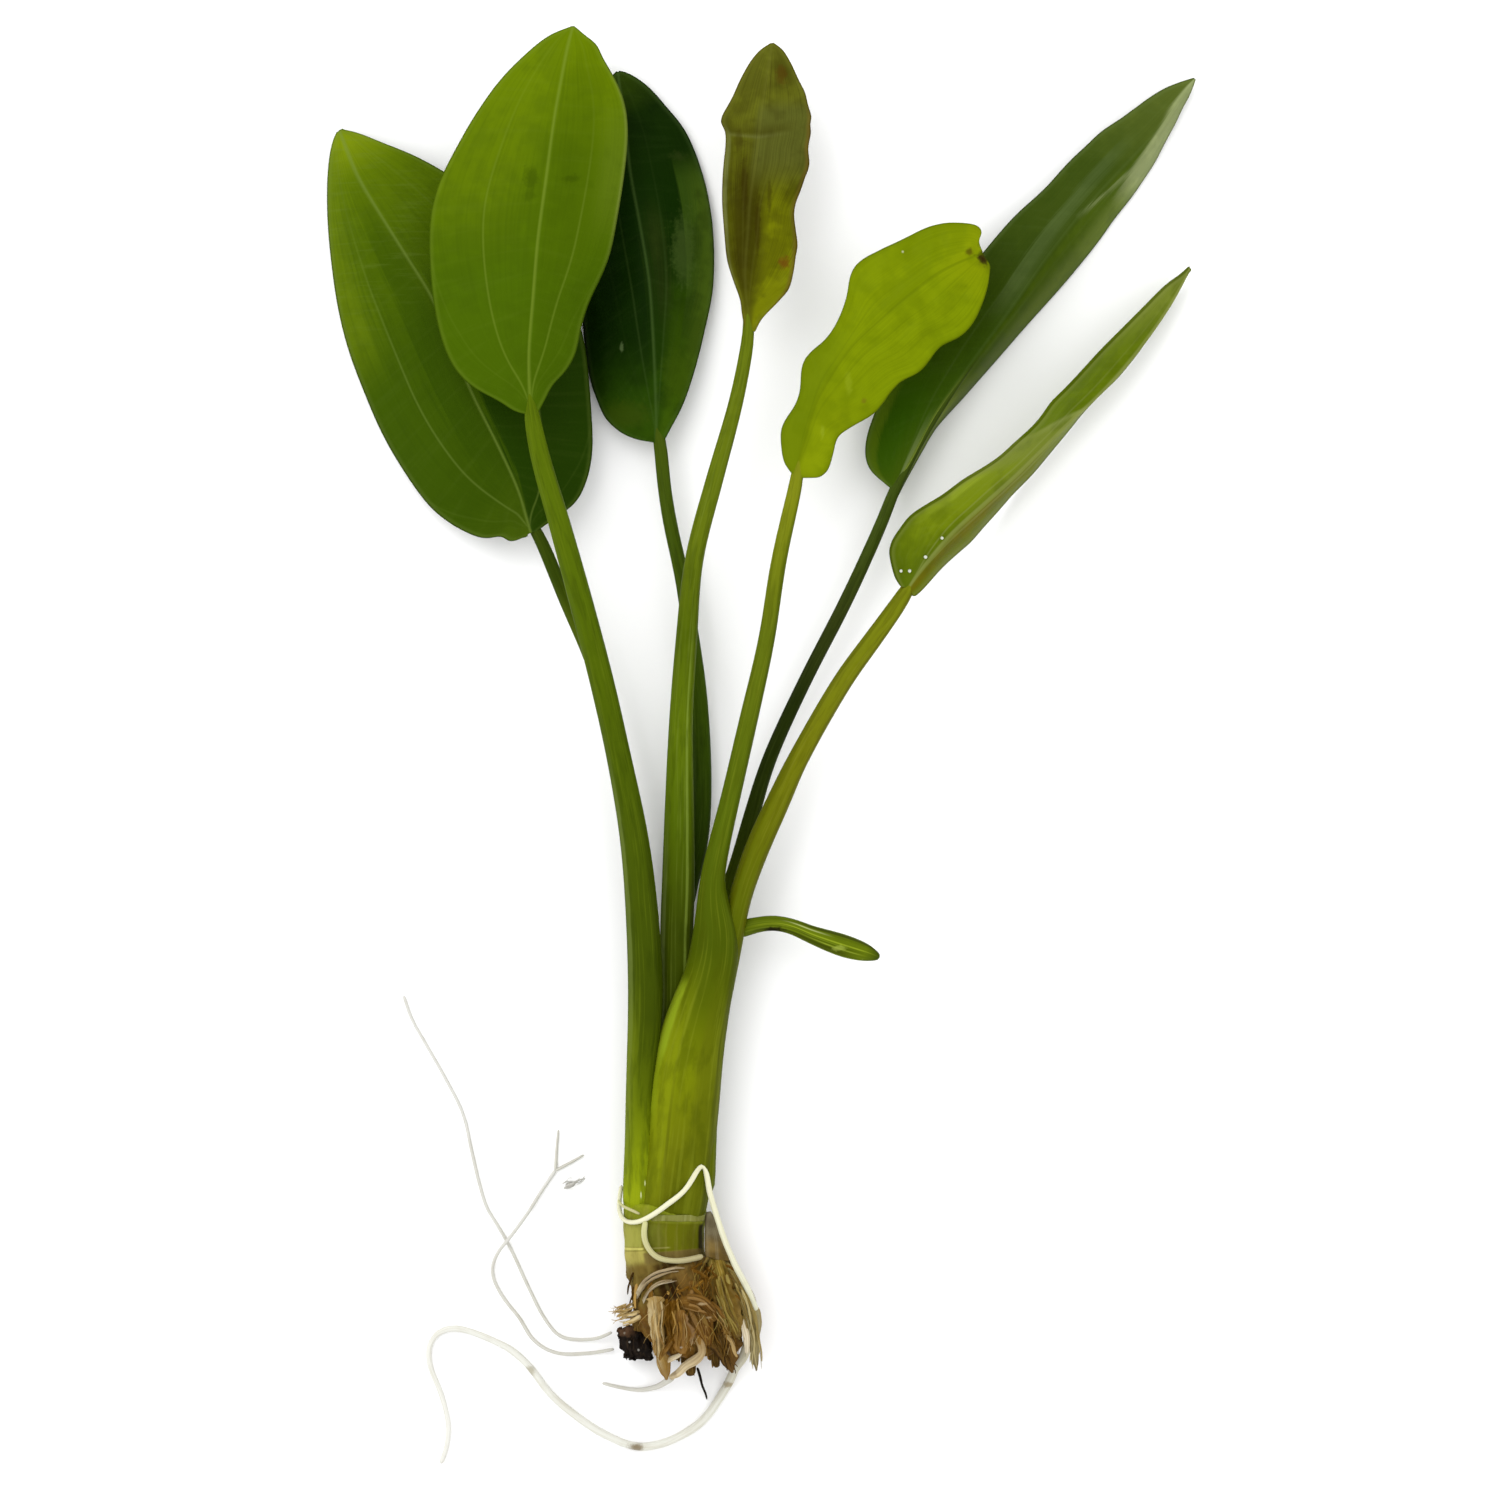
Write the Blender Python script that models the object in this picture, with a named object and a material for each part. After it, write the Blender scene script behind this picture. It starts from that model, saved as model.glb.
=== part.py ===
"""A sword plant (Echinodorus) lifted out with bare roots and laid down on a flat surface.

Frame: the surface is the XY plane, +Z is up, and the plant lies along Y with its leaf tips at +Y.
The origin is on the surface, under the middle of the plant's bounding box.
Every length in this file is in millimetres. The stations are drawn as they look from an eye straight
above the plant, and place() turns them into true places, in metres.
"""

import math
import random
from dataclasses import dataclass

import bmesh
import bpy
from mathutils import Vector

MM = 0.001

# Driving dimensions
EYE = (-2.3, -1.0, 1500.0)  # where the drawing is seen from, so what stands higher is drawn larger
BOX_CENTRE = (0.55, -0.95)  # the middle of the plant's box, which goes to the origin
BLADE_THICKNESS = 0.8
BLADE_COLUMNS = 8
BLADE_ROWS = 15
STEM_SIDES = 10
STEM_RINGS = 15
YOUNG_LEAF_RINGS = 12
CROWN_SIDES = 18
CROWN_RINGS = 11
SHEATH_THICKNESS = 0.5
SHEATH_ROWS = 6
SHEATH_COLUMNS = 4
ROOT_POINT_SPACING = 3.2
STUB_POINT_SPACING = 2.6
ROOT_SIDES = 6
LEAF_ROUGHNESS = 0.4
ROOT_ROUGHNESS = 0.65

Colour = tuple[float, float, float]

BRIGHT_GREEN: Colour = (0.20, 0.33, 0.01)
MID_GREEN: Colour = (0.10, 0.20, 0.01)
DARK_GREEN: Colour = (0.03, 0.08, 0.01)
BRONZE_GREEN: Colour = (0.13, 0.13, 0.02)
YELLOW_GREEN: Colour = (0.32, 0.40, 0.01)
STEM_GREEN: Colour = (0.17, 0.25, 0.01)
CROWN_GREEN: Colour = (0.22, 0.26, 0.04)
IVORY: Colour = (0.80, 0.77, 0.60)
TAN: Colour = (0.45, 0.28, 0.10)
BROWN: Colour = (0.16, 0.08, 0.03)
BLACK: Colour = (0.01, 0.01, 0.01)


# A station is one cross-section of a piece: its place, then its own sizes.
# Stem: x, y, z, half width, half height.
# Blade: x, y, z of the midrib, then how far the left and right margins stand out from it as seen
# from above, and how far each margin lies below it.
Station = tuple[float, ...]


@dataclass(frozen=True)
class Leaf:
    """One leaf: a stem (petiole) that rises from the crown and the blade that it carries."""

    name: str
    stem: tuple[Station, ...]
    blade: tuple[Station, ...]
    stem_colour: Colour
    blade_colour: Colour


@dataclass(frozen=True)
class Root:
    """One root: a tapering round strand through hand-placed points."""

    name: str
    route: tuple[tuple[float, float, float], ...]
    start_radius: float
    end_radius: float
    colour: Colour


LEAVES = (
    Leaf(
        "bright_leaf",
        (
            (-24.6, -90.0, 11.0, 2.6, 3.3),
            (-24.3, -71.0, 11.5, 2.7, 3.3),
            (-23.0, -51.0, 12.5, 3.3, 3.1),
            (-23.8, -35.0, 14.0, 3.2, 2.9),
            (-25.4, -19.0, 15.5, 2.8, 2.6),
            (-28.4, -3.0, 17.0, 2.4, 2.3),
            (-32.0, 13.0, 18.5, 2.35, 2.2),
            (-36.2, 29.0, 20.0, 2.3, 2.1),
            (-40.6, 45.0, 21.5, 2.1, 2.0),
            (-44.1, 57.0, 22.5, 1.9, 1.8),
            (-46.0, 66.2, 23.0, 1.7, 1.3),
        ),
        (
            (-46.0, 67.0, 23.2, 1.6, 1.5, 0.3, 0.3),
            (-46.0, 69.4, 23.6, 7.5, 2.9, 0.6, 0.8),
            (-46.0, 73.0, 24.0, 13.0, 6.0, 1.0, 2.0),
            (-45.9, 79.0, 24.4, 16.8, 9.0, 1.5, 3.5),
            (-45.3, 89.0, 24.6, 20.0, 11.2, 2.0, 6.0),
            (-44.2, 101.0, 24.4, 21.8, 14.8, 2.2, 7.5),
            (-42.8, 113.0, 23.8, 20.2, 15.8, 2.0, 7.0),
            (-41.2, 125.0, 22.8, 14.9, 14.6, 1.6, 5.0),
            (-39.4, 134.0, 21.8, 9.8, 9.8, 1.1, 2.5),
            (-38.1, 140.0, 21.0, 5.4, 5.0, 0.5, 0.8),
            (-37.4, 143.8, 20.5, 0.6, 0.6, 0.0, 0.0),
        ),
        STEM_GREEN,
        BRIGHT_GREEN,
    ),
    Leaf(
        "left_leaf",
        (
            (-22.6, -90.0, 5.0, 2.2, 2.1),
            (-22.8, -71.0, 5.0, 2.2, 2.0),
            (-22.4, -51.0, 5.5, 2.0, 1.9),
            (-24.0, -31.0, 6.5, 1.8, 1.7),
            (-26.6, -11.0, 7.5, 1.6, 1.5),
            (-30.2, 5.0, 8.3, 1.4, 1.4),
            (-34.0, 17.0, 9.0, 1.35, 1.3),
            (-39.2, 29.0, 9.6, 1.3, 1.2),
            (-42.4, 37.0, 10.0, 1.35, 1.2),
            (-44.6, 42.0, 10.3, 1.4, 1.1),
        ),
        (
            (-45.2, 42.6, 10.4, 2.5, 2.5, 0.3, 0.3),
            (-45.8, 44.2, 10.5, 7.0, 7.8, 0.8, 0.8),
            (-47.0, 47.0, 10.7, 12.2, 12.4, 2.2, 1.6),
            (-48.8, 51.6, 11.0, 16.0, 16.2, 4.2, 3.0),
            (-52.6, 60.4, 11.5, 18.8, 20.6, 7.8, 5.0),
            (-58.4, 72.0, 12.0, 19.0, 25.0, 11.6, 7.0),
            (-64.8, 87.4, 12.0, 19.2, 23.8, 12.0, 7.0),
            (-72.0, 99.6, 10.5, 15.0, 20.0, 10.3, 6.0),
            (-78.0, 109.8, 8.0, 9.2, 13.4, 7.4, 4.0),
            (-81.6, 117.0, 5.0, 4.8, 8.0, 4.0, 2.0),
            (-84.0, 122.8, 2.5, 0.6, 0.6, 0.0, 0.0),
        ),
        MID_GREEN,
        MID_GREEN,
    ),
    Leaf(
        "dark_leaf",
        (
            (-17.0, -90.0, 3.6, 2.4, 1.8),
            (-17.2, -71.0, 3.6, 2.4, 1.8),
            (-17.6, -51.0, 3.8, 2.3, 1.8),
            (-17.0, -39.0, 4.0, 2.2, 1.8),
            (-14.6, -27.0, 4.2, 2.1, 1.8),
            (-12.6, -19.0, 4.4, 2.0, 1.7),
            (-11.9, -7.0, 4.6, 1.9, 1.7),
            (-12.6, 9.0, 5.0, 1.8, 1.6),
            (-14.0, 21.0, 5.3, 1.6, 1.5),
            (-15.8, 33.0, 5.6, 1.4, 1.3),
            (-18.4, 45.0, 6.0, 1.35, 1.2),
            (-19.6, 53.0, 6.3, 1.3, 1.2),
            (-20.2, 60.0, 6.5, 1.5, 1.1),
        ),
        (
            (-20.4, 60.6, 6.6, 1.6, 1.6, 0.3, 0.3),
            (-20.6, 62.4, 6.8, 7.0, 2.4, 1.0, 0.4),
            (-20.8, 66.0, 7.1, 10.6, 4.4, 2.0, 1.0),
            (-21.0, 73.0, 7.6, 13.0, 7.6, 4.4, 2.5),
            (-21.2, 82.0, 8.2, 14.2, 10.0, 7.4, 4.5),
            (-22.0, 93.0, 8.6, 14.4, 12.6, 8.8, 6.0),
            (-23.4, 104.0, 8.4, 13.6, 14.0, 8.4, 6.5),
            (-25.2, 115.0, 7.6, 11.2, 13.6, 6.0, 6.0),
            (-26.8, 125.0, 6.0, 7.0, 10.4, 3.0, 4.0),
            (-28.0, 131.0, 4.6, 4.0, 5.6, 1.0, 2.0),
            (-28.8, 134.8, 3.6, 0.6, 0.6, 0.0, 0.0),
        ),
        DARK_GREEN,
        DARK_GREEN,
    ),
    Leaf(
        "bronze_leaf",
        (
            (-18.2, -90.0, 8.0, 2.5, 2.1),
            (-18.4, -71.0, 8.0, 2.6, 2.1),
            (-17.2, -51.0, 8.6, 3.0, 2.2),
            (-17.0, -39.0, 9.2, 3.2, 2.2),
            (-16.6, -27.0, 10.0, 3.2, 2.3),
            (-16.4, -11.0, 11.5, 2.8, 2.3),
            (-16.1, 5.0, 12.5, 2.3, 2.1),
            (-15.0, 21.0, 13.5, 2.1, 1.9),
            (-13.5, 37.0, 14.5, 1.8, 1.7),
            (-9.4, 53.0, 15.5, 1.7, 1.5),
            (-5.0, 69.0, 16.3, 1.4, 1.3),
            (-2.5, 82.4, 17.0, 1.3, 1.1),
        ),
        (
            (-2.4, 83.0, 17.1, 1.3, 1.3, 0.1, 0.1),
            (-2.6, 86.6, 17.4, 1.5, 4.6, 0.2, 0.4),
            (-2.8, 90.0, 17.8, 1.9, 7.6, 0.3, 0.8),
            (-2.8, 95.0, 18.2, 3.4, 9.4, 0.6, 1.3),
            (-2.4, 102.0, 18.5, 4.8, 9.6, 1.0, 1.8),
            (-1.8, 109.0, 18.6, 5.8, 9.4, 1.4, 2.0),
            (-1.2, 116.0, 18.4, 6.2, 11.0, 1.6, 2.2),
            (-0.4, 124.0, 17.8, 7.0, 10.6, 1.6, 2.0),
            (0.4, 130.0, 17.0, 5.8, 8.8, 1.2, 1.5),
            (1.4, 135.4, 16.0, 4.0, 5.4, 0.7, 0.8),
            (2.0, 138.6, 15.3, 2.2, 3.0, 0.3, 0.3),
            (2.6, 140.6, 14.8, 0.5, 0.5, 0.0, 0.0),
        ),
        STEM_GREEN,
        BRONZE_GREEN,
    ),
    Leaf(
        "yellow_leaf",
        (
            (-18.2, -90.0, 13.0, 3.0, 2.4),
            (-17.6, -71.0, 13.2, 3.5, 2.4),
            (-16.6, -61.0, 13.5, 3.3, 2.4),
            (-14.0, -51.0, 13.8, 2.9, 2.4),
            (-12.0, -41.0, 14.2, 2.5, 2.3),
            (-10.3, -31.0, 14.6, 2.3, 2.2),
            (-8.5, -21.0, 15.0, 2.2, 2.1),
            (-6.3, -11.0, 15.5, 1.9, 1.9),
            (-2.6, 5.0, 16.5, 1.8, 1.7),
            (1.0, 21.0, 17.5, 1.6, 1.5),
            (3.5, 37.0, 18.3, 1.5, 1.4),
            (7.0, 52.8, 19.0, 1.5, 1.1),
        ),
        (
            (7.2, 53.4, 19.1, 1.4, 1.5, 0.2, 0.2),
            (7.8, 55.4, 19.3, 2.6, 4.8, 0.4, 0.4),
            (9.0, 59.0, 19.7, 5.0, 5.6, 0.8, 0.8),
            (11.0, 63.4, 20.1, 6.2, 5.2, 1.0, 0.9),
            (15.0, 69.4, 20.6, 8.4, 7.8, 1.4, 1.3),
            (20.4, 75.6, 20.9, 9.6, 7.8, 1.8, 1.6),
            (26.6, 82.0, 21.0, 12.2, 8.8, 2.2, 1.8),
            (33.0, 88.2, 20.7, 14.6, 9.2, 2.4, 1.8),
            (38.6, 93.0, 20.2, 12.6, 8.2, 2.0, 1.5),
            (42.4, 96.2, 19.7, 9.6, 5.6, 1.4, 1.0),
            (44.7, 98.2, 19.3, 5.6, 2.0, 0.8, 0.5),
        ),
        STEM_GREEN,
        YELLOW_GREEN,
    ),
    Leaf(
        "right_leaf",
        (
            (-11.8, -90.0, 5.2, 2.2, 2.0),
            (-11.6, -71.0, 5.2, 2.2, 2.0),
            (-10.2, -51.0, 5.4, 2.1, 1.9),
            (-8.8, -41.0, 5.6, 2.0, 1.8),
            (-6.8, -31.0, 5.8, 1.9, 1.7),
            (-4.3, -23.0, 6.1, 1.8, 1.6),
            (-2.2, -15.0, 6.3, 1.6, 1.5),
            (1.5, -3.0, 6.6, 1.4, 1.4),
            (8.8, 13.0, 7.0, 1.3, 1.3),
            (17.0, 29.0, 7.4, 1.3, 1.2),
            (24.3, 45.0, 7.7, 1.35, 1.2),
            (26.4, 50.6, 7.8, 1.3, 1.1),
        ),
        (
            (26.8, 51.2, 7.9, 1.5, 1.3, 0.3, 0.3),
            (28.0, 53.8, 8.1, 7.4, 1.5, 1.0, 1.2),
            (30.4, 58.0, 8.5, 10.0, 1.9, 2.0, 3.4),
            (35.0, 66.4, 9.2, 11.6, 2.3, 3.5, 6.4),
            (42.0, 76.6, 10.0, 12.4, 3.6, 4.5, 9.4),
            (50.0, 87.6, 10.3, 10.6, 5.0, 4.5, 10.4),
            (57.0, 97.4, 10.0, 9.8, 5.6, 4.5, 10.2),
            (65.0, 107.6, 9.2, 8.4, 5.6, 4.0, 9.2),
            (72.0, 115.4, 8.0, 8.0, 5.2, 3.5, 7.6),
            (78.4, 122.2, 6.5, 6.0, 3.3, 2.5, 5.6),
            (83.4, 128.6, 4.5, 3.4, 1.8, 1.5, 2.5),
            (87.0, 133.4, 2.5, 0.5, 0.5, 0.0, 0.0),
        ),
        DARK_GREEN,
        DARK_GREEN,
    ),
    Leaf(
        "slim_leaf",
        (
            (-11.9, -90.0, 10.6, 2.5, 2.7),
            (-11.2, -71.0, 10.8, 2.5, 2.7),
            (-10.4, -61.0, 11.0, 2.5, 2.7),
            (-8.6, -51.0, 11.2, 2.5, 2.6),
            (-6.5, -41.0, 11.5, 2.5, 2.5),
            (-4.5, -31.0, 12.0, 2.5, 2.4),
            (-1.0, -21.0, 12.7, 2.4, 2.3),
            (3.5, -11.0, 13.3, 2.3, 2.1),
            (7.2, -3.0, 13.8, 2.0, 1.9),
            (16.4, 13.0, 14.6, 1.9, 1.7),
            (22.2, 21.0, 15.0, 1.8, 1.6),
            (27.9, 29.0, 15.2, 1.7, 1.5),
            (29.4, 31.6, 15.0, 1.5, 1.2),
        ),
        (
            (29.8, 32.2, 15.0, 1.5, 1.3, -0.3, 0.4),
            (31.4, 34.2, 14.8, 6.0, 2.4, -2.0, 2.6),
            (34.0, 37.8, 14.4, 8.0, 3.4, -4.0, 6.0),
            (38.0, 42.8, 13.6, 7.2, 4.2, -6.0, 8.8),
            (44.2, 48.2, 12.5, 5.8, 3.9, -8.0, 10.4),
            (50.4, 54.0, 11.4, 5.0, 3.1, -9.0, 10.8),
            (56.0, 59.6, 10.4, 4.4, 2.2, -9.5, 10.2),
            (61.4, 64.8, 9.6, 4.5, 1.5, -9.5, 9.5),
            (66.8, 69.8, 8.8, 4.8, 0.8, -9.0, 8.7),
            (72.4, 75.4, 7.8, 5.0, 0.6, -8.0, 7.6),
            (77.6, 82.0, 6.6, 4.4, 0.5, -6.5, 6.3),
            (82.0, 88.6, 5.0, 3.0, 0.5, -4.0, 4.2),
            (86.2, 95.6, 3.0, 0.4, 0.4, 0.0, 0.0),
        ),
        STEM_GREEN,
        BRIGHT_GREEN,
    ),
)

# The young leaf is still rolled up, so it is one slim solid. It leaves the slim leaf's stem.
YOUNG_LEAF: tuple[Station, ...] = (
    (-2.2, -36.4, 11.6, 1.1, 1.1),
    (0.0, -35.9, 11.8, 1.3, 1.2),
    (4.0, -36.0, 12.0, 1.4, 1.3),
    (8.0, -37.2, 11.6, 1.6, 1.4),
    (12.0, -39.0, 10.8, 1.9, 1.6),
    (16.0, -40.4, 10.0, 2.2, 1.7),
    (19.6, -41.6, 9.0, 2.0, 1.5),
    (22.4, -42.6, 8.2, 1.4, 1.1),
    (23.9, -43.0, 7.8, 0.7, 0.6),
)

# The leaf bases above and the rootstock below grew as one piece.
CROWN: tuple[Station, ...] = (
    (-18.8, -90.8, 8.7, 8.2, 7.0),
    (-18.8, -94.0, 8.7, 8.0, 7.0),
    (-19.1, -97.0, 8.7, 7.7, 6.9),
    (-19.0, -101.0, 8.7, 7.6, 6.8),
    (-18.4, -104.4, 8.9, 7.4, 6.6),
    (-17.2, -107.6, 9.5, 7.1, 6.4),
    (-15.8, -111.2, 10.2, 6.5, 6.0),
    (-14.8, -115.0, 10.6, 5.4, 5.2),
    (-14.3, -118.2, 10.8, 3.8, 3.8),
    (-14.2, -119.4, 10.8, 2.2, 2.2),
)

# A dry leaf base that still stands beside the crown. Its stations are a blade's.
DRY_SHEATH: tuple[Station, ...] = (
    (-8.6, -105.2, 12.2, 2.4, 2.4, -0.4, 2.4),
    (-9.0, -101.0, 11.8, 2.0, 2.2, -0.4, 2.2),
    (-9.8, -97.0, 11.0, 1.2, 1.6, -0.2, 1.4),
    (-10.2, -93.2, 10.4, 0.5, 0.7, 0.0, 0.4),
)

LONG_ROOTS = (
    Root(
        "long_root",
        (
            (-1.5, -119.4, 4.4), (-1.8, -123.2, 2.0), (-4.0, -127.2, 0.9), (-7.6, -131.0, 0.0),
            (-12.0, -135.4, 0.0), (-18.0, -139.0, 0.0), (-24.0, -140.4, 0.0), (-30.0, -138.6, 0.0),
            (-36.0, -135.0, 0.0), (-42.0, -130.0, 0.0), (-46.0, -124.8, 0.0), (-49.4, -121.4, 0.0),
            (-53.0, -119.4, 0.0), (-58.0, -117.4, 0.0), (-62.0, -116.6, 0.0), (-65.2, -118.0, 0.0),
            (-66.6, -121.2, 0.0), (-66.0, -125.0, 0.0), (-64.0, -130.0, 0.0), (-62.6, -136.0, 0.0),
            (-63.0, -140.6, 0.0), (-64.2, -143.8, 0.0),
        ),
        1.0,
        0.32,
        IVORY,
    ),
    Root(
        "upper_side_root",
        (
            (-29.8, -117.4, 2.2), (-33.4, -118.8, 0.9), (-40.0, -118.4, 0.0), (-43.4, -114.6, 0.0),
            (-47.0, -107.6, 0.0), (-50.0, -101.0, 0.0), (-52.8, -96.0, 0.0), (-55.0, -92.4, 0.0),
            (-56.6, -87.0, 0.0), (-58.0, -81.0, 0.0), (-59.6, -74.0, 0.0), (-63.0, -67.0, 0.0),
            (-67.0, -60.0, 0.0), (-70.0, -54.6, 0.0), (-71.6, -50.0, 0.0),
        ),
        0.5,
        0.3,
        IVORY,
    ),
    Root(
        "lower_side_root",
        (
            (-29.4, -120.8, 1.2), (-34.0, -121.6, 0.5), (-41.0, -121.6, 0.0), (-45.6, -119.0, 0.0),
            (-48.4, -114.6, 0.0), (-51.0, -111.4, 0.0), (-53.0, -108.2, 0.0), (-53.9, -105.0, 0.6),
            (-52.8, -101.6, 1.2), (-50.4, -98.6, 1.85), (-47.0, -94.0, 1.2), (-44.0, -89.2, 0.0),
            (-41.0, -85.2, 0.0),
        ),
        0.5,
        0.36,
        IVORY,
    ),
    Root(
        "side_root_upright_twig",
        (
            (-40.8, -84.2, 0.0), (-41.0, -81.0, 0.0), (-40.6, -76.8, 0.0),
        ),
        0.34,
        0.22,
        IVORY,
    ),
    Root(
        "side_root_end_twig",
        (
            (-40.1, -84.7, 0.0), (-38.0, -83.4, 0.0), (-35.4, -81.9, 0.0),
        ),
        0.34,
        0.22,
        IVORY,
    ),
    Root(
        "short_floor_root",
        (
            (-14.4, -127.0, 2.2), (-17.6, -128.2, 1.0), (-21.0, -129.0, 0.0), (-25.0, -128.6, 0.0),
            (-32.0, -127.6, 0.0),
        ),
        0.95,
        0.3,
        IVORY,
    ),
    Root(
        "wrapping_root",
        (
            (-1.4, -110.6, 15.6), (-4.2, -104.0, 15.0), (-6.6, -98.8, 14.2), (-8.4, -94.0, 14.0),
            (-9.8, -89.0, 14.1), (-10.6, -85.4, 14.4), (-11.5, -83.8, 14.7), (-12.8, -85.0, 15.1),
            (-15.2, -88.0, 16.0), (-18.6, -91.6, 16.8), (-21.6, -93.6, 16.4), (-24.4, -95.0, 15.2),
            (-26.8, -95.4, 13.0), (-28.1, -94.4, 10.0), (-28.4, -91.6, 8.0), (-27.8, -88.0, 6.0),
        ),
        0.66,
        0.45,
        IVORY,
    ),
    Root(
        "looping_root",
        (
            (-23.2, -96.4, 15.6), (-23.4, -99.0, 15.7), (-22.6, -101.0, 16.0), (-21.0, -102.4, 16.3),
            (-19.0, -103.0, 16.4), (-15.4, -103.0, 16.0), (-11.6, -102.2, 13.9),
        ),
        0.6,
        0.6,
        IVORY,
    ),
    Root(
        "dark_fibre",
        (
            (-12.4, -127.8, 3.2), (-11.8, -129.0, 2.0), (-10.8, -131.0, 0.6),
        ),
        0.3,
        0.22,
        BLACK,
    ),
)

# Cut root ends around the rootstock: those that face up, those inside, and those the plant rests on.
ROOT_STUBS = (
    Root(
        "stub_left_curl",
        (
            (-19.6, -108.5, 17.3), (-20.8, -113.0, 17.7), (-20.6, -118.0, 15.6),
            (-19.6, -122.6, 12.0), (-18.6, -126.0, 8.6),
        ),
        1.45,
        1.0,
        TAN,
    ),
    Root(
        "stub_centre_left",
        (
            (-16.2, -109.0, 18.3), (-16.0, -113.5, 18.7), (-15.2, -118.0, 17.0),
            (-14.4, -121.4, 14.0),
        ),
        1.9,
        1.3,
        TAN,
    ),
    Root(
        "stub_centre",
        (
            (-12.2, -108.5, 17.6), (-11.4, -112.5, 18.9), (-10.6, -117.0, 18.0),
            (-9.8, -121.0, 15.2),
        ),
        1.9,
        1.4,
        TAN,
    ),
    Root(
        "stub_right_centre",
        (
            (-9.2, -108.2, 14.8), (-7.2, -111.5, 16.2), (-6.0, -116.0, 15.6),
            (-5.4, -120.5, 12.8),
        ),
        1.6,
        1.1,
        BROWN,
    ),
    Root(
        "stub_right_outer",
        (
            (-8.0, -107.6, 10.8), (-4.8, -109.4, 12.6), (-1.8, -113.6, 12.6),
            (-0.7, -119.0, 10.4), (-0.6, -124.4, 7.8),
        ),
        1.4,
        0.7,
        TAN,
    ),
    Root(
        "stub_dark_strip",
        (
            (-8.4, -117.2, 11.6), (-7.4, -121.0, 10.2), (-5.6, -124.6, 8.0),
        ),
        1.3,
        0.9,
        BROWN,
    ),
    Root(
        "stub_right_inner",
        (
            (-7.8, -110.4, 8.2), (-4.4, -113.4, 8.6), (-3.0, -118.0, 7.4), (-3.4, -122.4, 5.6),
        ),
        1.3,
        0.9,
        TAN,
    ),
    Root(
        "stub_left_frayed",
        (
            (-26.0, -106.0, 12.4), (-27.4, -109.0, 12.2), (-28.6, -112.0, 10.6),
            (-29.4, -114.6, 8.8),
        ),
        1.1,
        0.5,
        TAN,
    ),
    Root(
        "stub_left",
        (
            (-25.6, -109.4, 9.0), (-26.3, -112.0, 8.8), (-26.6, -114.8, 8.2),
        ),
        1.2,
        0.8,
        BROWN,
    ),
    Root(
        "stub_pale_cross",
        (
            (-11.4, -120.8, 11.6), (-12.0, -124.2, 10.2), (-14.4, -126.4, 8.4),
            (-16.2, -127.4, 6.6),
        ),
        1.2,
        0.7,
        TAN,
    ),
    Root(
        "stub_inner_centre",
        (
            (-13.9, -120.8, 9.2), (-13.9, -123.4, 7.4), (-13.2, -126.4, 5.2),
        ),
        1.4,
        0.9,
        BROWN,
    ),
    Root(
        "stub_inner_left",
        (
            (-19.9, -118.0, 8.6), (-19.4, -121.0, 7.0), (-18.4, -124.2, 4.6),
        ),
        1.2,
        0.9,
        BROWN,
    ),
    Root(
        "stub_inner_right",
        (
            (-9.0, -119.2, 7.2), (-9.2, -122.4, 5.6), (-8.8, -125.4, 4.0),
        ),
        1.2,
        0.8,
        BROWN,
    ),
    Root(
        "stub_floor_left",
        (
            (-20.6, -110.4, 2.6), (-20.8, -114.0, 2.2), (-20.2, -119.0, 1.5),
            (-19.6, -123.0, 0.0),
        ),
        1.3,
        1.0,
        TAN,
    ),
    Root(
        "stub_floor_centre",
        (
            (-15.8, -111.0, 2.0), (-15.4, -116.0, 1.7), (-15.2, -120.6, 1.5),
            (-15.4, -124.8, 0.0),
        ),
        1.4,
        1.1,
        TAN,
    ),
    Root(
        "stub_floor_right",
        (
            (-11.2, -110.0, 2.8), (-10.4, -114.5, 2.2), (-9.8, -119.0, 1.6),
            (-10.0, -123.4, 0.0),
        ),
        1.3,
        1.0,
        TAN,
    ),
    Root(
        "stub_floor_outer",
        (
            (-9.2, -107.0, 5.8), (-6.2, -110.4, 4.8), (-5.0, -115.0, 3.0), (-5.4, -119.6, 0.0),
        ),
        1.3,
        0.9,
        TAN,
    ),
)

# A clump of rotted root and soil, and a flake of loose root skin on the floor.
CLUMP_CENTRE = (-25.4, -119.6, 3.6)
CLUMP_RADII = (3.1, 3.4, 3.4)
FLAKE_CENTRE = (-37.6, -87.4, 0.75)
FLAKE_RADII = (2.3, 2.5, 0.65)


def clear_scene() -> None:
    """Starts from an empty scene."""
    for obj in list(bpy.data.objects):
        bpy.data.objects.remove(obj)


def place(x: float, y: float, z: float) -> Vector:
    """The true place of a drawn point that stands z above the surface, in metres, in the part's frame."""
    shrink = 1 - z / EYE[2]
    true_x = EYE[0] + (x - EYE[0]) * shrink
    true_y = EYE[1] + (y - EYE[1]) * shrink
    return Vector((true_x - BOX_CENTRE[0], true_y - BOX_CENTRE[1], z)) * MM


def material(name: str, colour: Colour, roughness: float) -> bpy.types.Material:
    """The plain surface of one piece."""
    made = bpy.data.materials.new(name)
    made.use_nodes = True
    shader = made.node_tree.nodes["Principled BSDF"]
    shader.inputs["Base Color"].default_value = (*colour, 1.0)
    shader.inputs["Roughness"].default_value = roughness
    shader.inputs["Metallic"].default_value = 0.0
    return made


def along(stations: tuple[Station, ...]) -> list[float]:
    """The distance from the first station to each one, along the straight lines between them."""
    distances = [0.0]
    for a, b in zip(stations, stations[1:]):
        distances.append(distances[-1] + (Vector(b[:3]) - Vector(a[:3])).length)
    return distances


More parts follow.
